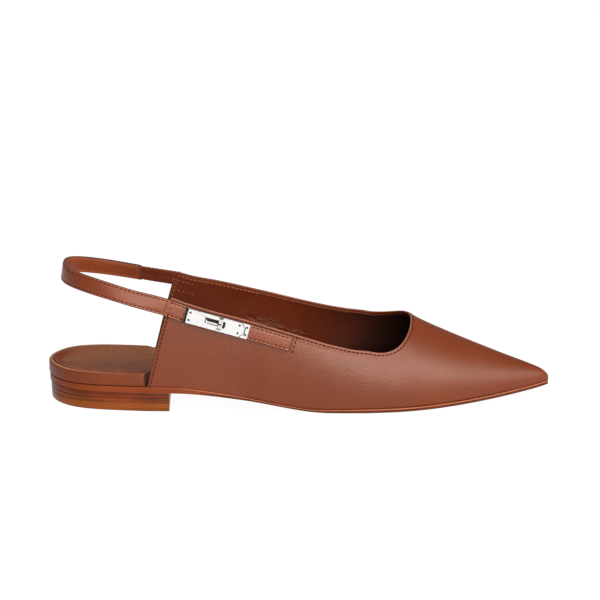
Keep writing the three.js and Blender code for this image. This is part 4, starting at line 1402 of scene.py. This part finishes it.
@dataclass
class Footbed(Piece):
    """The wrapped rim that the heel rests in, and the soft sock on top of it."""

    heel_thick: float = 6.8
    fore_thick: float = 3.0
    end: float = 250.0
    round_end: float = 20.0
    dish: float = 1.5
    step: float = 3.0
    seam: float = 2.3
    puff: float = 0.12
    # Share of the lighter tone on the rim's rounded bead: painted highlight, with rubbing.
    bead: float = 0.35
    bowl_reach: float = 12.0
    sock_sunk: float = 0.25
    # How dark the rim is painted where it steps inside the upper: painted shadow of the notch.
    step_shadow: float = 0.8

    def build(self) -> None:
        """Build the rim and the sock."""
        rim_rows = (
            (2.5, 0.0), (1.0, 0.0), (0.55, 0.1), (0.2, 0.4), (0.02, 0.9), (0.0, 1.6), (0.0, -1.0),
            (0.06, -0.62), (0.25, -0.3), (0.6, -0.06), (1.1, 0.02), (1.7, -0.02),
            (self.seam - 0.2, -0.2), (self.seam, -0.55), (self.seam + 0.3, -1.2), (6.0, -2.6),
        )
        # Painted shade in the seam between the rim and the sock.
        seam_shade = [0.0] * 12 + [0.5, 1.0, 1.0, 1.0]
        rim = self.body(rim_rows, seam_shade, filled=False)
        self.dress(rim, "footbed_rim", self.looks.rim, "insole", "upper_leather")
        sock_rows = (
            (self.seam + 0.5, -2.5), (self.seam + 0.12, -0.8), (self.seam + 0.05, -0.4),
            (self.seam + 0.2, -0.12), (self.seam + 0.55, 0.04), (self.seam + 1.2, self.puff),
        )
        # The sock's lower rows carry painted shade where they drop into the seam.
        sock = self.body(sock_rows, [1.0, 1.0, 0.6, 0.1, 0.0, 0.0], filled=True)
        obj = self.dress(sock, "footbed_sock", self.looks.sock, "insole", "lining_leather")

    def begin(self) -> float:
        """Return where the footbed begins to step inside the upper."""
        return self.last.rear_foot - self.step - 3 * self.last.piece_gap

    def places(self) -> np.ndarray:
        """Return the rings' places, closer where the footbed steps inside the upper."""
        last, front, begin = self.last, self.end - self.round_end, self.begin()
        behind = last.stations(0.0, begin, 44)
        step = np.linspace(begin, begin + self.step, 9)[1:]
        inside = last.stations(last.rear_foot, front, 60)
        tip = front + self.round_end * np.sin(np.linspace(0.0, math.pi / 2, 13)[1:])
        return np.r_[behind, step, inside, tip]

    def body(self, rows: Sequence[tuple], marks: Sequence[float], filled: bool) -> Body:
        """Return one body of the footbed.

        Args:
            rows: How far in and how high each row is; a height below zero, or any
                height of a filled body, is measured from the top.
            marks: How dark each row is painted: painted shade in the seam between the rim and the sock.
            filled: Whether a dished face closes the top.

        Returns:
            The body, ready to build.
        """
        last, x = self.last, self.places()
        fore = smoothstep((x - last.rear_foot) / (last.ball_start - last.rear_foot))
        thick = mix(self.heel_thick, self.fore_thick, fore)
        low = last.feather(x) + last.piece_gap
        high = low + thick
        inside = last.feather_inset + last.wall + 2 * last.piece_gap
        base = inside * smoothstep((x - self.begin()) / self.step)
        round_share = np.maximum(0.0, x - self.end + self.round_end) / self.round_end
        close = np.sqrt(np.maximum(0.0, 1.0 - round_share**2))
        half, middle = last.half(x), last.middle(x)
        lines, darks, beads = [], list(marks), []
        top_from = next((i for i, row in enumerate(rows) if row[1] < 0), len(rows))
        for index, (inward, up) in enumerate(rows):
            if filled or index >= top_from:
                z = high + up * np.minimum(1.0, thick / 3.5)
            else:
                z = low + up * np.minimum(1.0, thick / 4.0)
            width = close * trimmed(half, base + inward)
            lines.append((x + inward * (1 - x / last.length), width, z))
            # Rows of the rounded bead take painted highlight.
            rounded = not filled and 0.4 < inward < 1.9 and up > -0.1
            beads.append(self.bead if rounded else 0.0)
        if filled:
            moved, width, z = lines[-1]
            bowl = (self.dish + self.sock_sunk + self.puff) * smoothstep(width / self.bowl_reach)
            shares = np.linspace(0.9, 0.1, 9)
            lines.extend((moved, width * share, z - bowl * (1 - share**2)) for share in shares)
            darks.extend([0.0] * len(shares))
            beads.extend([0.0] * len(shares))
        rings = closed_rings(*(
            np.stack([np.stack([m, middle + side.value * w, z], -1) for m, w, z in lines], 1)
            for side in Side
        ))
        if filled:
            rings[:, len(lines) + 1, 2] = z - bowl
        # Painted shadow where the rim steps inside the upper, with no painted highlight there.
        step_shaded = 0.0 if filled else self.step_shadow * smoothstep((x - self.begin() - 0.5) / 0.9)[:, None]
        shade = np.broadcast_to(ring_values(darks, darks[0], darks[-1]), rings.shape[:2])
        bead = np.broadcast_to(ring_values(beads), rings.shape[:2])
        made = Body()
        made.loft(rings, {
            "painted": np.maximum(shade, step_shaded), "rubbed_and_highlight": bead * (1.0 - step_shaded),
        })
        return made


# Heel strap.


@dataclass
class Run:
    """Frames along a band: middle line, the way it faces, and across its width."""

    at: np.ndarray
    out: np.ndarray
    across: np.ndarray
    width: np.ndarray

    def joined(self, *others: "Run") -> "Run":
        """Return this run followed by others."""
        runs = [(r.at, r.out, r.across, r.width) for r in (self, *others)]
        return Run(*(np.concatenate(column) for column in zip(*runs)))

    def line(self, across: np.ndarray | float, out: float) -> np.ndarray:
        """Return the line that runs a distance across and off the middle line."""
        return self.at + self.across * np.reshape(across, (-1, 1)) + self.out * out

    def last_heading(self) -> np.ndarray:
        """Return the way the run goes where it ends."""
        return unit(self.at[-1] - self.at[-2])

    def part(self, start: int, end: int | None = None) -> "Run":
        """Return some of the run's frames."""
        keep = slice(start, end)
        return Run(self.at[keep], self.out[keep], self.across[keep], self.width[keep])

    def cross_row(self, off: float, reach: float, facing: float = 1.0) -> SewnRow:
        """Return a row of stitches straight across the band at the run's first frame."""
        across = np.outer(np.linspace(-1.0, 1.0, 24) * reach, self.across[0])
        way = np.tile(self.out[0] * facing, (24, 1))
        return SewnRow(self.at[0] + self.out[0] * off + across, way)


def bridge(begin: Run, leave: np.ndarray, to: Run, arrive: np.ndarray, count: int) -> Run:
    """Return frames that leave one run and join another without a kink.

    Args:
        begin: Run whose last frame is left.
        leave: Heading at the start.
        to: Run whose first frame is reached.
        arrive: Heading at the end.
        count: Number of steps.

    Returns:
        The frames between the two.
    """
    t = (np.arange(1, count) / count)[:, None]
    start, end = begin.at[-1], to.at[0]
    span = np.linalg.norm(end - start)
    at = mix(start, end, 3 * t**2 - 2 * t**3)
    at = at + leave * span * t * (1 - t) ** 2 - arrive * span * t**2 * (1 - t)
    out = unit(mix(begin.out[-1], to.out[0], smoothstep(t)))
    across = mix(begin.across[-1], to.across[0], smoothstep(t))
    across = unit(across - out * np.sum(across * out, axis=1, keepdims=True))
    return Run(at, out, across, mix(begin.width[-1], to.width[0], smoothstep(t))[:, 0])


@dataclass(frozen=True)
class BandSection:
    """Cross-section of a leather band with a groove for its stitches."""

    thick: float
    puff: float = 1.0
    inner_puff: float = 0.0
    edge_paint: float = 1.0
    end_round: Pair = (0.25, 0.93)

    # Distance from the edge, lift of the face there, share of edge paint, and share of rubbing with
    # painted highlight on the beads beside the edges.
    rows: tuple = (
        (0.0, -0.45, 1.0, 0.0), (0.1, -0.2, 1.0, 0.0), (0.3, -0.04, 0.6, 0.0),
        (0.55, 0.06, 0.0, 0.3), (0.85, 0.05, 0.0, 0.25), (1.2, -0.09, 0.0, 0.0),
        (1.55, 0.04, 0.0, 0.05), (2.0, 0.1, 0.0, 0.05), (2.8, 0.14, 0.0, 0.0),
        (3.4, 0.15, 0.0, 0.0),
    )

    def rings(self, run: Run) -> tuple[np.ndarray, np.ndarray, np.ndarray]:
        """Return the band's rings, with each point's share of edge paint and of rubbing with painted
        highlight.
        """
        distance, lift, *marks = np.array(self.rows).T
        half = run.width[:, None] / 2
        left = np.concatenate([-half + distance, np.zeros_like(half)], axis=1)
        a = np.concatenate([left, (half - distance)[:, ::-1]], axis=1)
        across = np.concatenate([a, a[:, ::-1]], axis=1)
        outward, inward = (
            np.where(lift > 0, lift * puff, lift) for puff in (self.puff, self.inner_puff)
        )
        face = self.thick / 2 + np.r_[outward, outward[-1], outward[::-1]]
        back = -self.thick / 2 - np.r_[inward, inward[-1], inward[::-1]]
        off = np.broadcast_to(np.r_[face, back], across.shape)
        rings = run.at[:, None] + run.across[:, None] * across[..., None]
        rings = rings + run.out[:, None] * off[..., None]
        shade, worn_and_highlight = (
            np.tile(np.r_[mark, 0.0, mark[::-1]], (len(across), 2)) * self.edge_paint
            for mark in marks
        )
        return rings, shade, worn_and_highlight

    def body(self, run: Run, extra: dict[str, np.ndarray] | None = None) -> Body:
        """Return the band as a closed body with its ends rounded and painted, the paint running onto the
        end frames as a painted shade line.
        """
        rings, shade, worn_and_highlight = self.rings(run)
        # Painted shade line at each end besides the edge paint: the end frames take the full edge
        # colour.
        shade[[0, -1]] = self.edge_paint
        caps = []
        for end, step in ((0, 1), (-1, -1)):
            inner = rings[end] + unit(run.at[end + step] - run.at[end]) * self.end_round[0]
            tight = run.at[end] + (rings[end] - run.at[end]) * self.end_round[1]
            caps.append([tight, inner][::step])
        rings = np.concatenate([caps[0], rings[1:-1], caps[1]])
        full = np.full((1, shade.shape[1]), self.edge_paint)
        marks = {
            "painted": np.concatenate([full, shade, full]),
            "rubbed_and_highlight": np.concatenate([0 * full, worn_and_highlight, 0 * full]),
        }
        for name, values in (extra or {}).items():
            longer = np.r_[values[0], values, values[-1]]
            marks[name] = np.broadcast_to(longer[:, None], rings.shape[:2])
        made = Body()
        made.loft(rings, marks)
        return made


@dataclass
class HeelStrap(Piece):
    """The strap from the outer side, round the back of the heel, to the elastic."""

    sewing: Sewing
    width: float = 9.0
    tip_width: float = 8.1
    thick: float = 1.8
    front: float = 129.5
    drop: float = 2.2
    leaves: float = 69.0
    loop_back: float = 9.0
    loop_span: float = 31.0
    loop_square: float = 2.5
    loop_start: float = 56.5
    loop_join: float = 44.0
    loop_top: float = 70.1
    loop_rise: float = 11.6
    loop_lean: float = 21.0
    loop_lean_back: float = 8.0
    inner_end: float = 49.0
    climbs: Pair = (1.4, 0.8)
    stitch_inset: float = 1.2
    row_ahead: float = 1.5
    bridge_steps: int = 24
    inner_rows_from: int = 20
    box_rows: tuple = (66.2, 72.6)
    seam_at: float = 64.0
    # Share of the lighter tone on the seam ridge: painted highlight.
    seam_highlight: float = 0.12

    def frame_near(self, run: Run, x: float) -> Run:
        """Return the outer side's frame nearest a distance from the back of the heel."""
        place = int(np.argmin(np.abs(run.at[: self.side_count + self.bridge_steps, 0] - x)))
        return run.part(place, place + 1)

    def inset(self) -> float:
        """Return how far inside the outer face the strap's middle lies: less than zero."""
        return -self.last.piece_gap - self.thick / 2

    def side_width(self, x: np.ndarray) -> np.ndarray:
        """Return the strap's width, a little narrower towards its front end."""
        share = smoothstep((self.front - x) / (self.front - self.leaves))
        return mix(self.tip_width, self.width, share)

    def side_line(self, x: np.ndarray) -> tuple[np.ndarray, np.ndarray]:
        """Return the middle line on the outer side and its share up the wall."""
        place = np.maximum(x, self.last.rear_foot)
        drop = self.drop + self.side_width(x) / 2
        share = self.last.share_below(Side.OUTER, place, drop, self.inset())
        return self.last.wall_point(Side.OUTER, place, share, self.inset()), share

    def side_run(self, x: np.ndarray) -> Run:
        """Return frames flat against the wall, square to the strap's own run."""
        at, share = self.side_line(x)
        along = unit(self.side_line(x + 1.0)[0] - self.side_line(x - 1.0)[0])
        upper = self.last.wall_point(Side.OUTER, x, share + 0.05, self.inset())
        across = upper - self.last.wall_point(Side.OUTER, x, share - 0.05, self.inset())
        across = unit(across - along * np.sum(across * along, axis=1, keepdims=True))
        out = unit(np.cross(along, across))
        out = np.where(out[:, 1:2] > 0, -out, out)
        return Run(at, out, across, self.side_width(x))

    def loop_run(self, turn: np.ndarray) -> Run:
        """Return frames round the back; turn is zero at the outer side."""
        depth, power = self.loop_start - self.loop_back, 2.0 / self.loop_square
        deep = np.sin(turn) ** power
        wide = np.sign(np.cos(turn)) * np.abs(np.cos(turn)) ** power
        climb = np.where(turn < math.pi / 2, *self.climbs)
        high = self.loop_top - self.loop_rise * np.maximum(0.0, 1 - deep) ** climb
        x, y = self.loop_start - depth * deep, -self.loop_span * wide
        bend = self.loop_square - 1.0
        aside = np.sign(wide) * np.abs(wide) ** bend / self.loop_span
        out = unit(np.stack([-(deep**bend) / depth, -aside, np.zeros_like(turn)], 1))
        lean = np.radians(mix(self.loop_lean, self.loop_lean_back, deep))[:, None]
        up = np.array([0.0, 0.0, 1.0])
        across = up * np.cos(lean) - out * np.sin(lean)
        return Run(np.stack([x, y, high], 1), out * np.cos(lean) + up * np.sin(lean), across,
                   np.full_like(turn, self.width))

    def turn_at(self, x: float) -> float:
        """Return the turn of the loop at a distance from the back of the heel."""
        share = (self.loop_start - x) / (self.loop_start - self.loop_back)
        return math.asin(share ** (self.loop_square / 2.0))

    def run(self) -> Run:
        """Return frames of the whole strap, from its front end to its inner end."""
        side = self.side_run(np.linspace(self.front, self.leaves, 60))
        loop = self.loop_run(
            np.linspace(self.turn_at(self.loop_join), math.pi - self.turn_at(self.inner_end), 130)
        )
        arrive = unit(loop.at[1] - loop.at[0])
        joint = bridge(side, side.last_heading(), loop, arrive, self.bridge_steps)
        self.side_count = len(side.at)
        return side.joined(joint, loop)

    def build(self) -> None:
        """Build the strap, its sleeve end and its stitches."""
        run = self.run()
        body = BandSection(self.thick, 1.0, 0.3).body(run)
        self.dress(body, "heel_strap_leather", self.looks.strap, "heel_strap", "upper_leather")
        self.stitches(run)
        self.seam(run)

    def stitches(self, run: Run) -> None:
        """Sew both edges, the box by the lock and the lining side round the heel."""
        low = -run.width / 2 + self.stitch_inset
        face = self.thick / 2
        rows = [SewnRow(run.line(a, face)[3:-3], run.out[3:-3]) for a in (low, -low)]
        tab = self.side_run(np.array([self.front + self.row_ahead]))
        rows.append(tab.cross_row(0.06 - face - self.last.piece_gap, self.tip_width / 2 - 0.4))
        for x in self.box_rows:
            reach = self.width / 2 - self.stitch_inset
            rows.append(self.frame_near(run, x).cross_row(face + 0.08, reach))
        start = self.side_count + self.inner_rows_from
        loop, low = run.part(start), low[start:]
        inner = [SewnRow(loop.line(a, -face)[:-3], -loop.out[:-3]) for a in (low, -low)]
        for sign in (-1.0, 1.0):
            inner.append(run.part(-3, -2).cross_row(sign * face, self.width / 2 - 1.0, sign))
        for name, lines, look in (
            ("strap_stitches", rows, self.looks.thread),
            ("strap_inner_stitches", inner, self.looks.golden_thread),
        ):
            self.sewing.sew(name, lines, look, "upper_leather", ("heel_strap",))

    def seam(self, run: Run) -> None:
        """Raise a seam across the strap where it crosses the rear edge of the upper."""
        mid = self.frame_near(run, self.seam_at)
        heading = np.cross(mid.out[0], mid.across[0])
        turn = np.linspace(0.0, 2 * math.pi, 13)[:-1]
        ring = np.outer(np.cos(turn), heading * 1.35) + np.outer(np.sin(turn), mid.out[0])
        rings = []
        for share in np.linspace(-1.0, 1.0, 30):
            a = share * (self.width / 2 - 0.25)
            size = 0.5 * math.sqrt(max(0.02, 1 - abs(share) ** 8))
            centre = mid.at[0] + mid.across[0] * a + mid.out[0] * (self.thick / 2 + 0.02)
            rings.append(centre + ring * size)
        body = Body()
        # Painted highlight along the seam ridge.
        body.loft(np.array(rings), {"rubbed_and_highlight": np.full((len(rings), len(turn)), self.seam_highlight)})
        self.dress(body, "strap_seam", self.looks.strap, "heel_strap", "upper_leather")


@dataclass
class ElasticLink(Piece):
    """The gathered elastic from the strap's inner end to the rear of the upper."""

    strap: HeelStrap
    width: float = 8.2
    thick: float = 1.4
    pleats: float = 15.0
    pleat_depth: float = 0.14
    pleat_wander: float = 0.8
    rows: tuple = (1.6, -3.3)

    def rear_point(self, up: float) -> np.ndarray:
        """Return a point of the inner rear edge, half way through the wall."""
        last = self.last
        x = np.array(last.rear_foot + last.rear_lean * up)
        share = up * last.top_share(Side.INNER, x)
        return last.wall_point(Side.INNER, x, share, last.wall / 2)

    def build(self) -> None:
        """Build the link and gather it into pleats."""
        strap = self.strap.run()
        leave = strap.last_heading()
        begin = strap.part(-1)
        begin = Run(begin.at - leave * 1.2, begin.out, begin.across, np.array([self.width]))
        reach = self.width / (4 * self.strap.loop_top)
        up = 1 - self.strap.drop / self.strap.loop_top - 2 * reach
        at = self.rear_point(up) + np.array([2.5, 0.0, 0.0])
        across = unit(self.rear_point(up + reach) - self.rear_point(up - reach))
        end = Run(at[None], begin.out, across[None], np.array([self.width]))
        arrive = unit(end.at[0] - begin.at[0])
        middle = bridge(begin, leave, end, arrive, 110)
        run = begin.joined(middle, end)
        share = np.linspace(0.0, 1.0, len(run.at))
        body = BandSection(self.thick, 0.0, 0.0, 0.0).body(run, {"along": share})
        obj = body.build("elastic_gathered", self.placing, self.looks.elastic)
        PleatRecipe().apply(
            obj, depth=self.pleat_depth * MM, pleats=self.pleats, wander=self.pleat_wander,
            material=self.looks.elastic,
        )
        hand_over(obj, ("elastic_link",))
        rows = [SewnRow(run.line(a, -self.thick / 2 - 0.05), -run.out) for a in self.rows]
        self.strap.sewing.sew(
            "elastic_stitches", rows, self.looks.thread, "elastic", ("elastic_link",)
        )


# Turn lock.


@dataclass
class TurnLock(Piece):
    """The turn lock on the strap: base plate, slotted cover, turning bar and pins."""

    length: float = 33.7
    width: float = 7.8
    thick: float = 1.0
    cover_length: float = 31.2
    cover_thick: float = 0.8
    chamfer: float = 2.4
    slot_start: float = 10.0
    slot_length: float = 10.6
    slot_width: float = 2.8
    rise: float = 0.4
    bar_at: float = 18.2
    bar_length: float = 5.4
    bar_width: float = 2.3
    bar_height: float = 1.5
    clearance: float = 0.1
    post_radius: float = 1.05
    pins: tuple = ((1.5, 2.1), (1.5, -1.9), (28.1, 2.3), (28.1, -1.9))
    base_pins: tuple = ((32.2, 2.1), (32.2, -1.9))
    slits: tuple = (3.35, -2.55)
    # Width of the painted shadow strip behind the plate's rear end.
    end_shadow: float = 0.9
    # How far the painted shadow reaches past the cover's nose.
    nose_shadow: float = 0.45

    def place(self) -> None:
        """Read the plane of the lock from the CAD base plate."""
        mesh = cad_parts["clasp_base_plate"].data
        corners = self.placing.from_frame(np.array([v.co for v in mesh.vertices]))
        corners = np.unique(np.round(corners, 2), axis=0)
        centre = corners.mean(axis=0)
        _, axes = np.linalg.eigh(np.cov((corners - centre).T))
        out, across, along = axes.T
        self.along = along * np.sign(along[0])
        self.across = across * np.sign(across[2])
        self.out = out * -np.sign(out[1])
        self.origin = centre - self.along * self.length / 2 - self.out * self.thick / 2

    def spot(self, along: float, across: float, out: float) -> np.ndarray:
        """Return a point given along, across and off the plate's underside."""
        return self.origin + self.along * along + self.across * across + self.out * out

    @staticmethod
    def pill(x: float, y: float, length: float, width: float, upright: bool = False) -> list:
        """Return the outline of a slot with round ends, centred on a point."""
        turns = np.linspace(-math.pi / 2, math.pi / 2, 13)
        reach, radius = (length - width) / 2, width / 2
        right = [(reach + radius * math.cos(t), radius * math.sin(t)) for t in turns]
        points = right + [(-a, -b) for a, b in right]
        return [(x + b, y - a) if upright else (x + a, y + b) for a, b in points]

    @staticmethod
    def window(x: float, y: float, length: float, width: float, round_off: float = 0.3) -> list:
        """Return the outline of a rectangle with small round corners."""
        points = []
        for quarter, (sx, sy) in enumerate(((1, 1), (-1, 1), (-1, -1), (1, -1))):
            core = (x + sx * (length / 2 - round_off), y + sy * (width / 2 - round_off))
            for t in np.linspace(0.0, math.pi / 2, 4) + quarter * math.pi / 2:
                points.append((core[0] + round_off * math.cos(t), core[1] + round_off * math.sin(t)))
        return points

    def plate(
        self, name: str, loops: Sequence[Sequence[Pair]], base: float, thick: float,
        bevel: float, look: Material, node: str,
    ) -> None:
        """Build a flat plate, its first outline cut by the others.

        Args:
            name: Name of the piece.
            loops: Outline, then holes.
            base: Height of its underside off the lock's plane.
            thick: Its thickness.
            bevel: How far its edges are rounded.
            look: Its finish.
            node: CAD node that it stands for.
        """
        flat = [[Vector((x, y, 0.0)) for x, y in loop] for loop in loops]
        points = [point for loop in loops for point in loop]
        body = Body()
        low = [body.point(self.spot(x, y, base)) for x, y in points]
        high = [body.point(self.spot(x, y, base + thick)) for x, y in points]
        for a, b, c in tessellate_polygon(flat):
            body.face(low[c], low[b], low[a])
            body.face(high[a], high[b], high[c])
        start = 0
        for loop in loops:
            count = len(loop)
            for i in range(count):
                a, b = start + i, start + (i + 1) % count
                body.face(low[a], low[b], high[b], high[a])
            start += count
        obj = body.build(name, self.placing, look)
        out = Vector(self.out)
        if bevel:
            rounded = obj.modifiers.new("edges", "BEVEL")
            rounded.width, rounded.segments = bevel * MM, 3
            rounded.limit_method, rounded.angle_limit = "ANGLE", math.radians(35)
            settle(obj)
        for face in obj.data.polygons:
            face.use_smooth = abs(face.normal.dot(out)) < 0.999
        hand_over(obj, (node,))

    def build(self) -> None:
        """Build every piece of the lock."""
        self.place()
        side, thick, rise, bar = self.width / 2, self.thick, self.rise, self.bar_at
        top = thick + self.cover_thick
        nose, cut, dark = self.cover_length, self.chamfer, self.looks.shadow_sheet
        base = [(0, -side), (self.length, -side), (self.length, side), (0, side)]
        cover = [
            (0, -side), (nose - cut, -side), (nose, cut - side), (nose, side - cut),
            (nose - cut, side), (0, side),
        ]
        # Outline of the painted shadow strip behind the plate's rear end.
        tail = [(-self.end_shadow, -side), (0.1, -side), (0.1, side), (-self.end_shadow, side)]
        nose += self.nose_shadow
        # Outline of the painted shadow round the cover's nose.
        shade = [
            (nose - cut - 1.5, 0.1 - side), (nose - cut, 0.1 - side), (nose, cut - side),
            (nose, side - cut), (nose - cut, side - 0.1), (nose - cut - 1.5, side - 0.1),
        ]
        middle = self.slot_start + self.slot_length / 2
        slot = self.window(middle, rise, self.slot_length, self.slot_width)
        inside = self.window(middle, rise, self.slot_length + 0.3, self.slot_width + 0.3)
        near, end = self.slot_start + 0.35, bar - self.bar_width / 2
        ledge = [
            (near, rise - 1.15), (end, rise - 1.15), (end, rise - 0.3),
            (self.slot_start + 1.3, rise - 0.3), (near, rise + 0.5),
        ]
        window = self.window(bar + 1.75, rise - 0.3, 1.1, 3.5)
        upper, lower = (self.window(bar - 0.3, across, 2.6, 0.62) for across in self.slits)
        pill = self.pill(bar, rise, self.bar_length, self.bar_width, upright=True)
        groove = self.window(bar - 0.5, rise - 0.2, 1.9, 0.7, 0.2)
        post = self.pill(bar, rise, self.post_radius * 2 + 0.02, self.post_radius * 2)
        face = top + self.clearance
        plate, polished = self.looks.plate, self.looks.polished
        low, high, knob = "clasp_base_plate", "clasp_cover_plate", "clasp_toggle"
        # Rows in the near-black finish are painted shade: behind the plate, round the nose, in the slot,
        # beside the bar, in the slits and in the bar's groove.
        # Name, outline and holes, height and thickness, bevel, finish, CAD node.
        for row in (
            ("lock_base", [base], 0.0, thick, 0.22, plate, low),
            ("lock_tail_shadow", [tail], 0.1, top - 0.4, 0.0, dark, low),
            ("lock_nose_shadow", [shade], thick, 0.08, 0.0, dark, high),
            ("lock_cover", [cover, slot[::-1]], thick, self.cover_thick, 0.24, plate, high),
            ("lock_recess_shadow", [inside], thick, 0.06, 0.0, dark, high),
            ("lock_ledge", [ledge], thick + 0.1, 0.45, 0.0, plate, high),
            ("lock_window_shadow", [window], top - 0.2, 0.22, 0.0, dark, high),
            ("lock_slit_upper_shadow", [upper], top - 0.2, 0.22, 0.0, dark, high),
            ("lock_slit_lower_shadow", [lower], top - 0.2, 0.22, 0.0, dark, high),
            ("lock_bar", [pill], face, self.bar_height, 0.5, polished, knob),
            ("lock_bar_groove_shadow", [groove], face + self.bar_height - 0.3, 0.31, 0.0, dark, knob),
            ("lock_post", [post], thick, self.cover_thick + 0.3, 0.0, polished, knob),
        ):
            self.plate(*row)
        self.pin_heads()

    def pin_heads(self) -> None:
        """Set the six pin heads, each in a ring of painted shade."""
        top = self.thick + self.cover_thick
        spots = [self.spot(a, c, top) for a, c in self.pins]
        spots += [self.spot(a, c, self.thick) for a, c in self.base_pins]
        recipe = PinRecipe()
        for name, radius, dome, look in (
            # Rings of painted shade round the pins.
            ("lock_pin_shade_rings", 0.62, 0.06, self.looks.shadow_sheet),
            ("lock_pins", 0.22, 0.2, self.looks.plate),
        ):
            mesh = bpy.data.meshes.new(name)
            mesh.from_pydata(self.placing.to_frame(np.array(spots)).tolist(), [], [])
            obj = placed(name, mesh)
            recipe.apply(
                obj, radius=radius * MM, dome=dome * MM, facing=tuple(self.out.tolist()), material=look
            )
            hand_over(obj, ("clasp_base_plate",))


# Studio.


@dataclass(frozen=True)
class SoftLight:
    """A square soft light that looks at the shoe."""

    name: str
    place: Triple
    aim: Triple
    size: Pair
    power: float
    sheen: float
    tint: Triple = (1.0, 1.0, 1.0)

    def build(self) -> None:
        """Hang the light as two lamps: its power for colour, its sheen for reflections."""
        self.hang(self.name, self.power).visible_glossy = False
        self.hang(self.name + " sheen", self.sheen).visible_diffuse = False

    def hang(self, name: str, power: float) -> Object:
        """Return a lamp of a given power, aimed at the shoe."""
        data = bpy.data.lights.new(name, "AREA")
        data.shape, data.size, data.size_y, data.energy = "RECTANGLE", *self.size, power
        data.color = self.tint
        lamp = placed(name, data)
        lamp.location = self.place
        lamp.rotation_mode = "QUATERNION"
        way = Vector(self.aim) - Vector(self.place)
        lamp.rotation_quaternion = way.to_track_quat("-Z", "Y")
        return lamp


@dataclass(frozen=True)
class Studio:
    """Camera, lights and floor; lengths in metres unless named otherwise."""

    picture: int = 600
    sensor: float = 36.0
    azimuth: float = math.radians(0.8)
    elevation: float = math.radians(14.9)
    distance: float = 1.7
    pixels_per_metre: float = 1861.0
    aim: Triple = (0.0, 0.00104, 0.0)
    aim_pixel: Pair = (299.37, 394.4)
    floor_size: float = 14.0
    room_light: float = 0.2
    room_colour: Triple = (1.0, 0.94, 0.84)
    floor_height: float = -0.05 * MM
    lights: tuple[SoftLight, ...] = (
        SoftLight(
            "front", (0.27, -1.94, 0.64), (0.04, 0.0, 0.03), (1.3, 0.55), 20.5, 53.0,
            (1.0, 0.87, 0.76),
        ),
        SoftLight(
            "side", (1.15, -0.95, 0.96), (0.05, 0.0, 0.03), (1.0, 0.75), 22.0, 52.0,
            (1.0, 0.87, 0.76),
        ),
        SoftLight("top", (-0.1, -0.15, 1.5), (0.0, 0.0, 0.0), (0.8, 0.8), 7.0, 14.0),
        SoftLight(
            "back", (-0.35, 1.15, 0.88), (-0.1, 0.0, 0.03), (0.6, 0.25), 4.0, 7.0, (1.0, 0.84, 0.5)
        ),
    )

    def camera(self) -> None:
        """Stand the camera where the photograph was taken from."""
        turn, rise = self.azimuth, self.elevation
        ahead = Vector(
            (math.sin(turn) * math.cos(rise), math.cos(turn) * math.cos(rise), -math.sin(rise))
        )
        right = Vector((math.cos(turn), -math.sin(turn), 0.0))
        up = right.cross(ahead)
        centre = self.picture / 2
        sideways = (centre - self.aim_pixel[0]) / self.pixels_per_metre
        upwards = (self.aim_pixel[1] - centre) / self.pixels_per_metre
        data = bpy.data.cameras.new("camera")
        data.sensor_width = self.sensor
        data.lens = self.pixels_per_metre * self.distance / self.picture * self.sensor
        data.clip_start, data.clip_end = 0.05, 50.0
        cam = placed("camera", data)
        cam.location = Vector(self.aim) + right * sideways + up * upwards - ahead * self.distance
        basis = Matrix((right, up, -ahead)).transposed()
        cam.rotation_mode = "QUATERNION"
        cam.rotation_quaternion = basis.to_quaternion()
        bpy.context.scene.camera = cam

    def floor(self) -> None:
        """Lay a plain pale floor."""
        half, low = self.floor_size / 2, self.floor_height
        mesh = bpy.data.meshes.new("floor")
        corners = [(-half, -half, low), (half, -half, low), (half, half, low), (-half, half, low)]
        mesh.from_pydata(corners, [], [(0, 1, 2, 3)])
        mesh.materials.append(PlainFinish("pale floor", (0.1, 0.1, 0.1), 0.9, 0.0, 0.96).build())
        floor = placed("floor", mesh)

    def build(self) -> None:
        """Set up the camera, the floor, the lights and the pale room."""
        self.camera()
        self.floor()
        for light in self.lights:
            light.build()
        world = bpy.data.worlds.new("white room")
        world.use_nodes = True
        ground = world.node_tree.nodes["Background"]
        ground.inputs["Color"].default_value = (*self.room_colour, 1.0)
        ground.inputs["Strength"].default_value = self.room_light
        bpy.context.scene.world = world
        bpy.context.scene.view_settings.view_transform = "Standard"


def main() -> None:
    """Build the shoe piece by piece, then the studio round it."""
    logging.basicConfig(level=logging.INFO, format="%(message)s")
    last = Last()
    placing = Placing(last)
    looks = Finishes()
    sewing = Sewing(placing, StitchRecipe())
    SoleStack(last, placing, looks).build()
    Footbed(last, placing, looks).build()
    Upper(last, placing, looks, sewing).build()
    strap = HeelStrap(last, placing, looks, sewing)
    strap.build()
    ElasticLink(last, placing, looks, strap).build()
    TurnLock(last, placing, looks).build()
    Studio().build()


if __name__ == "__main__":
    main()
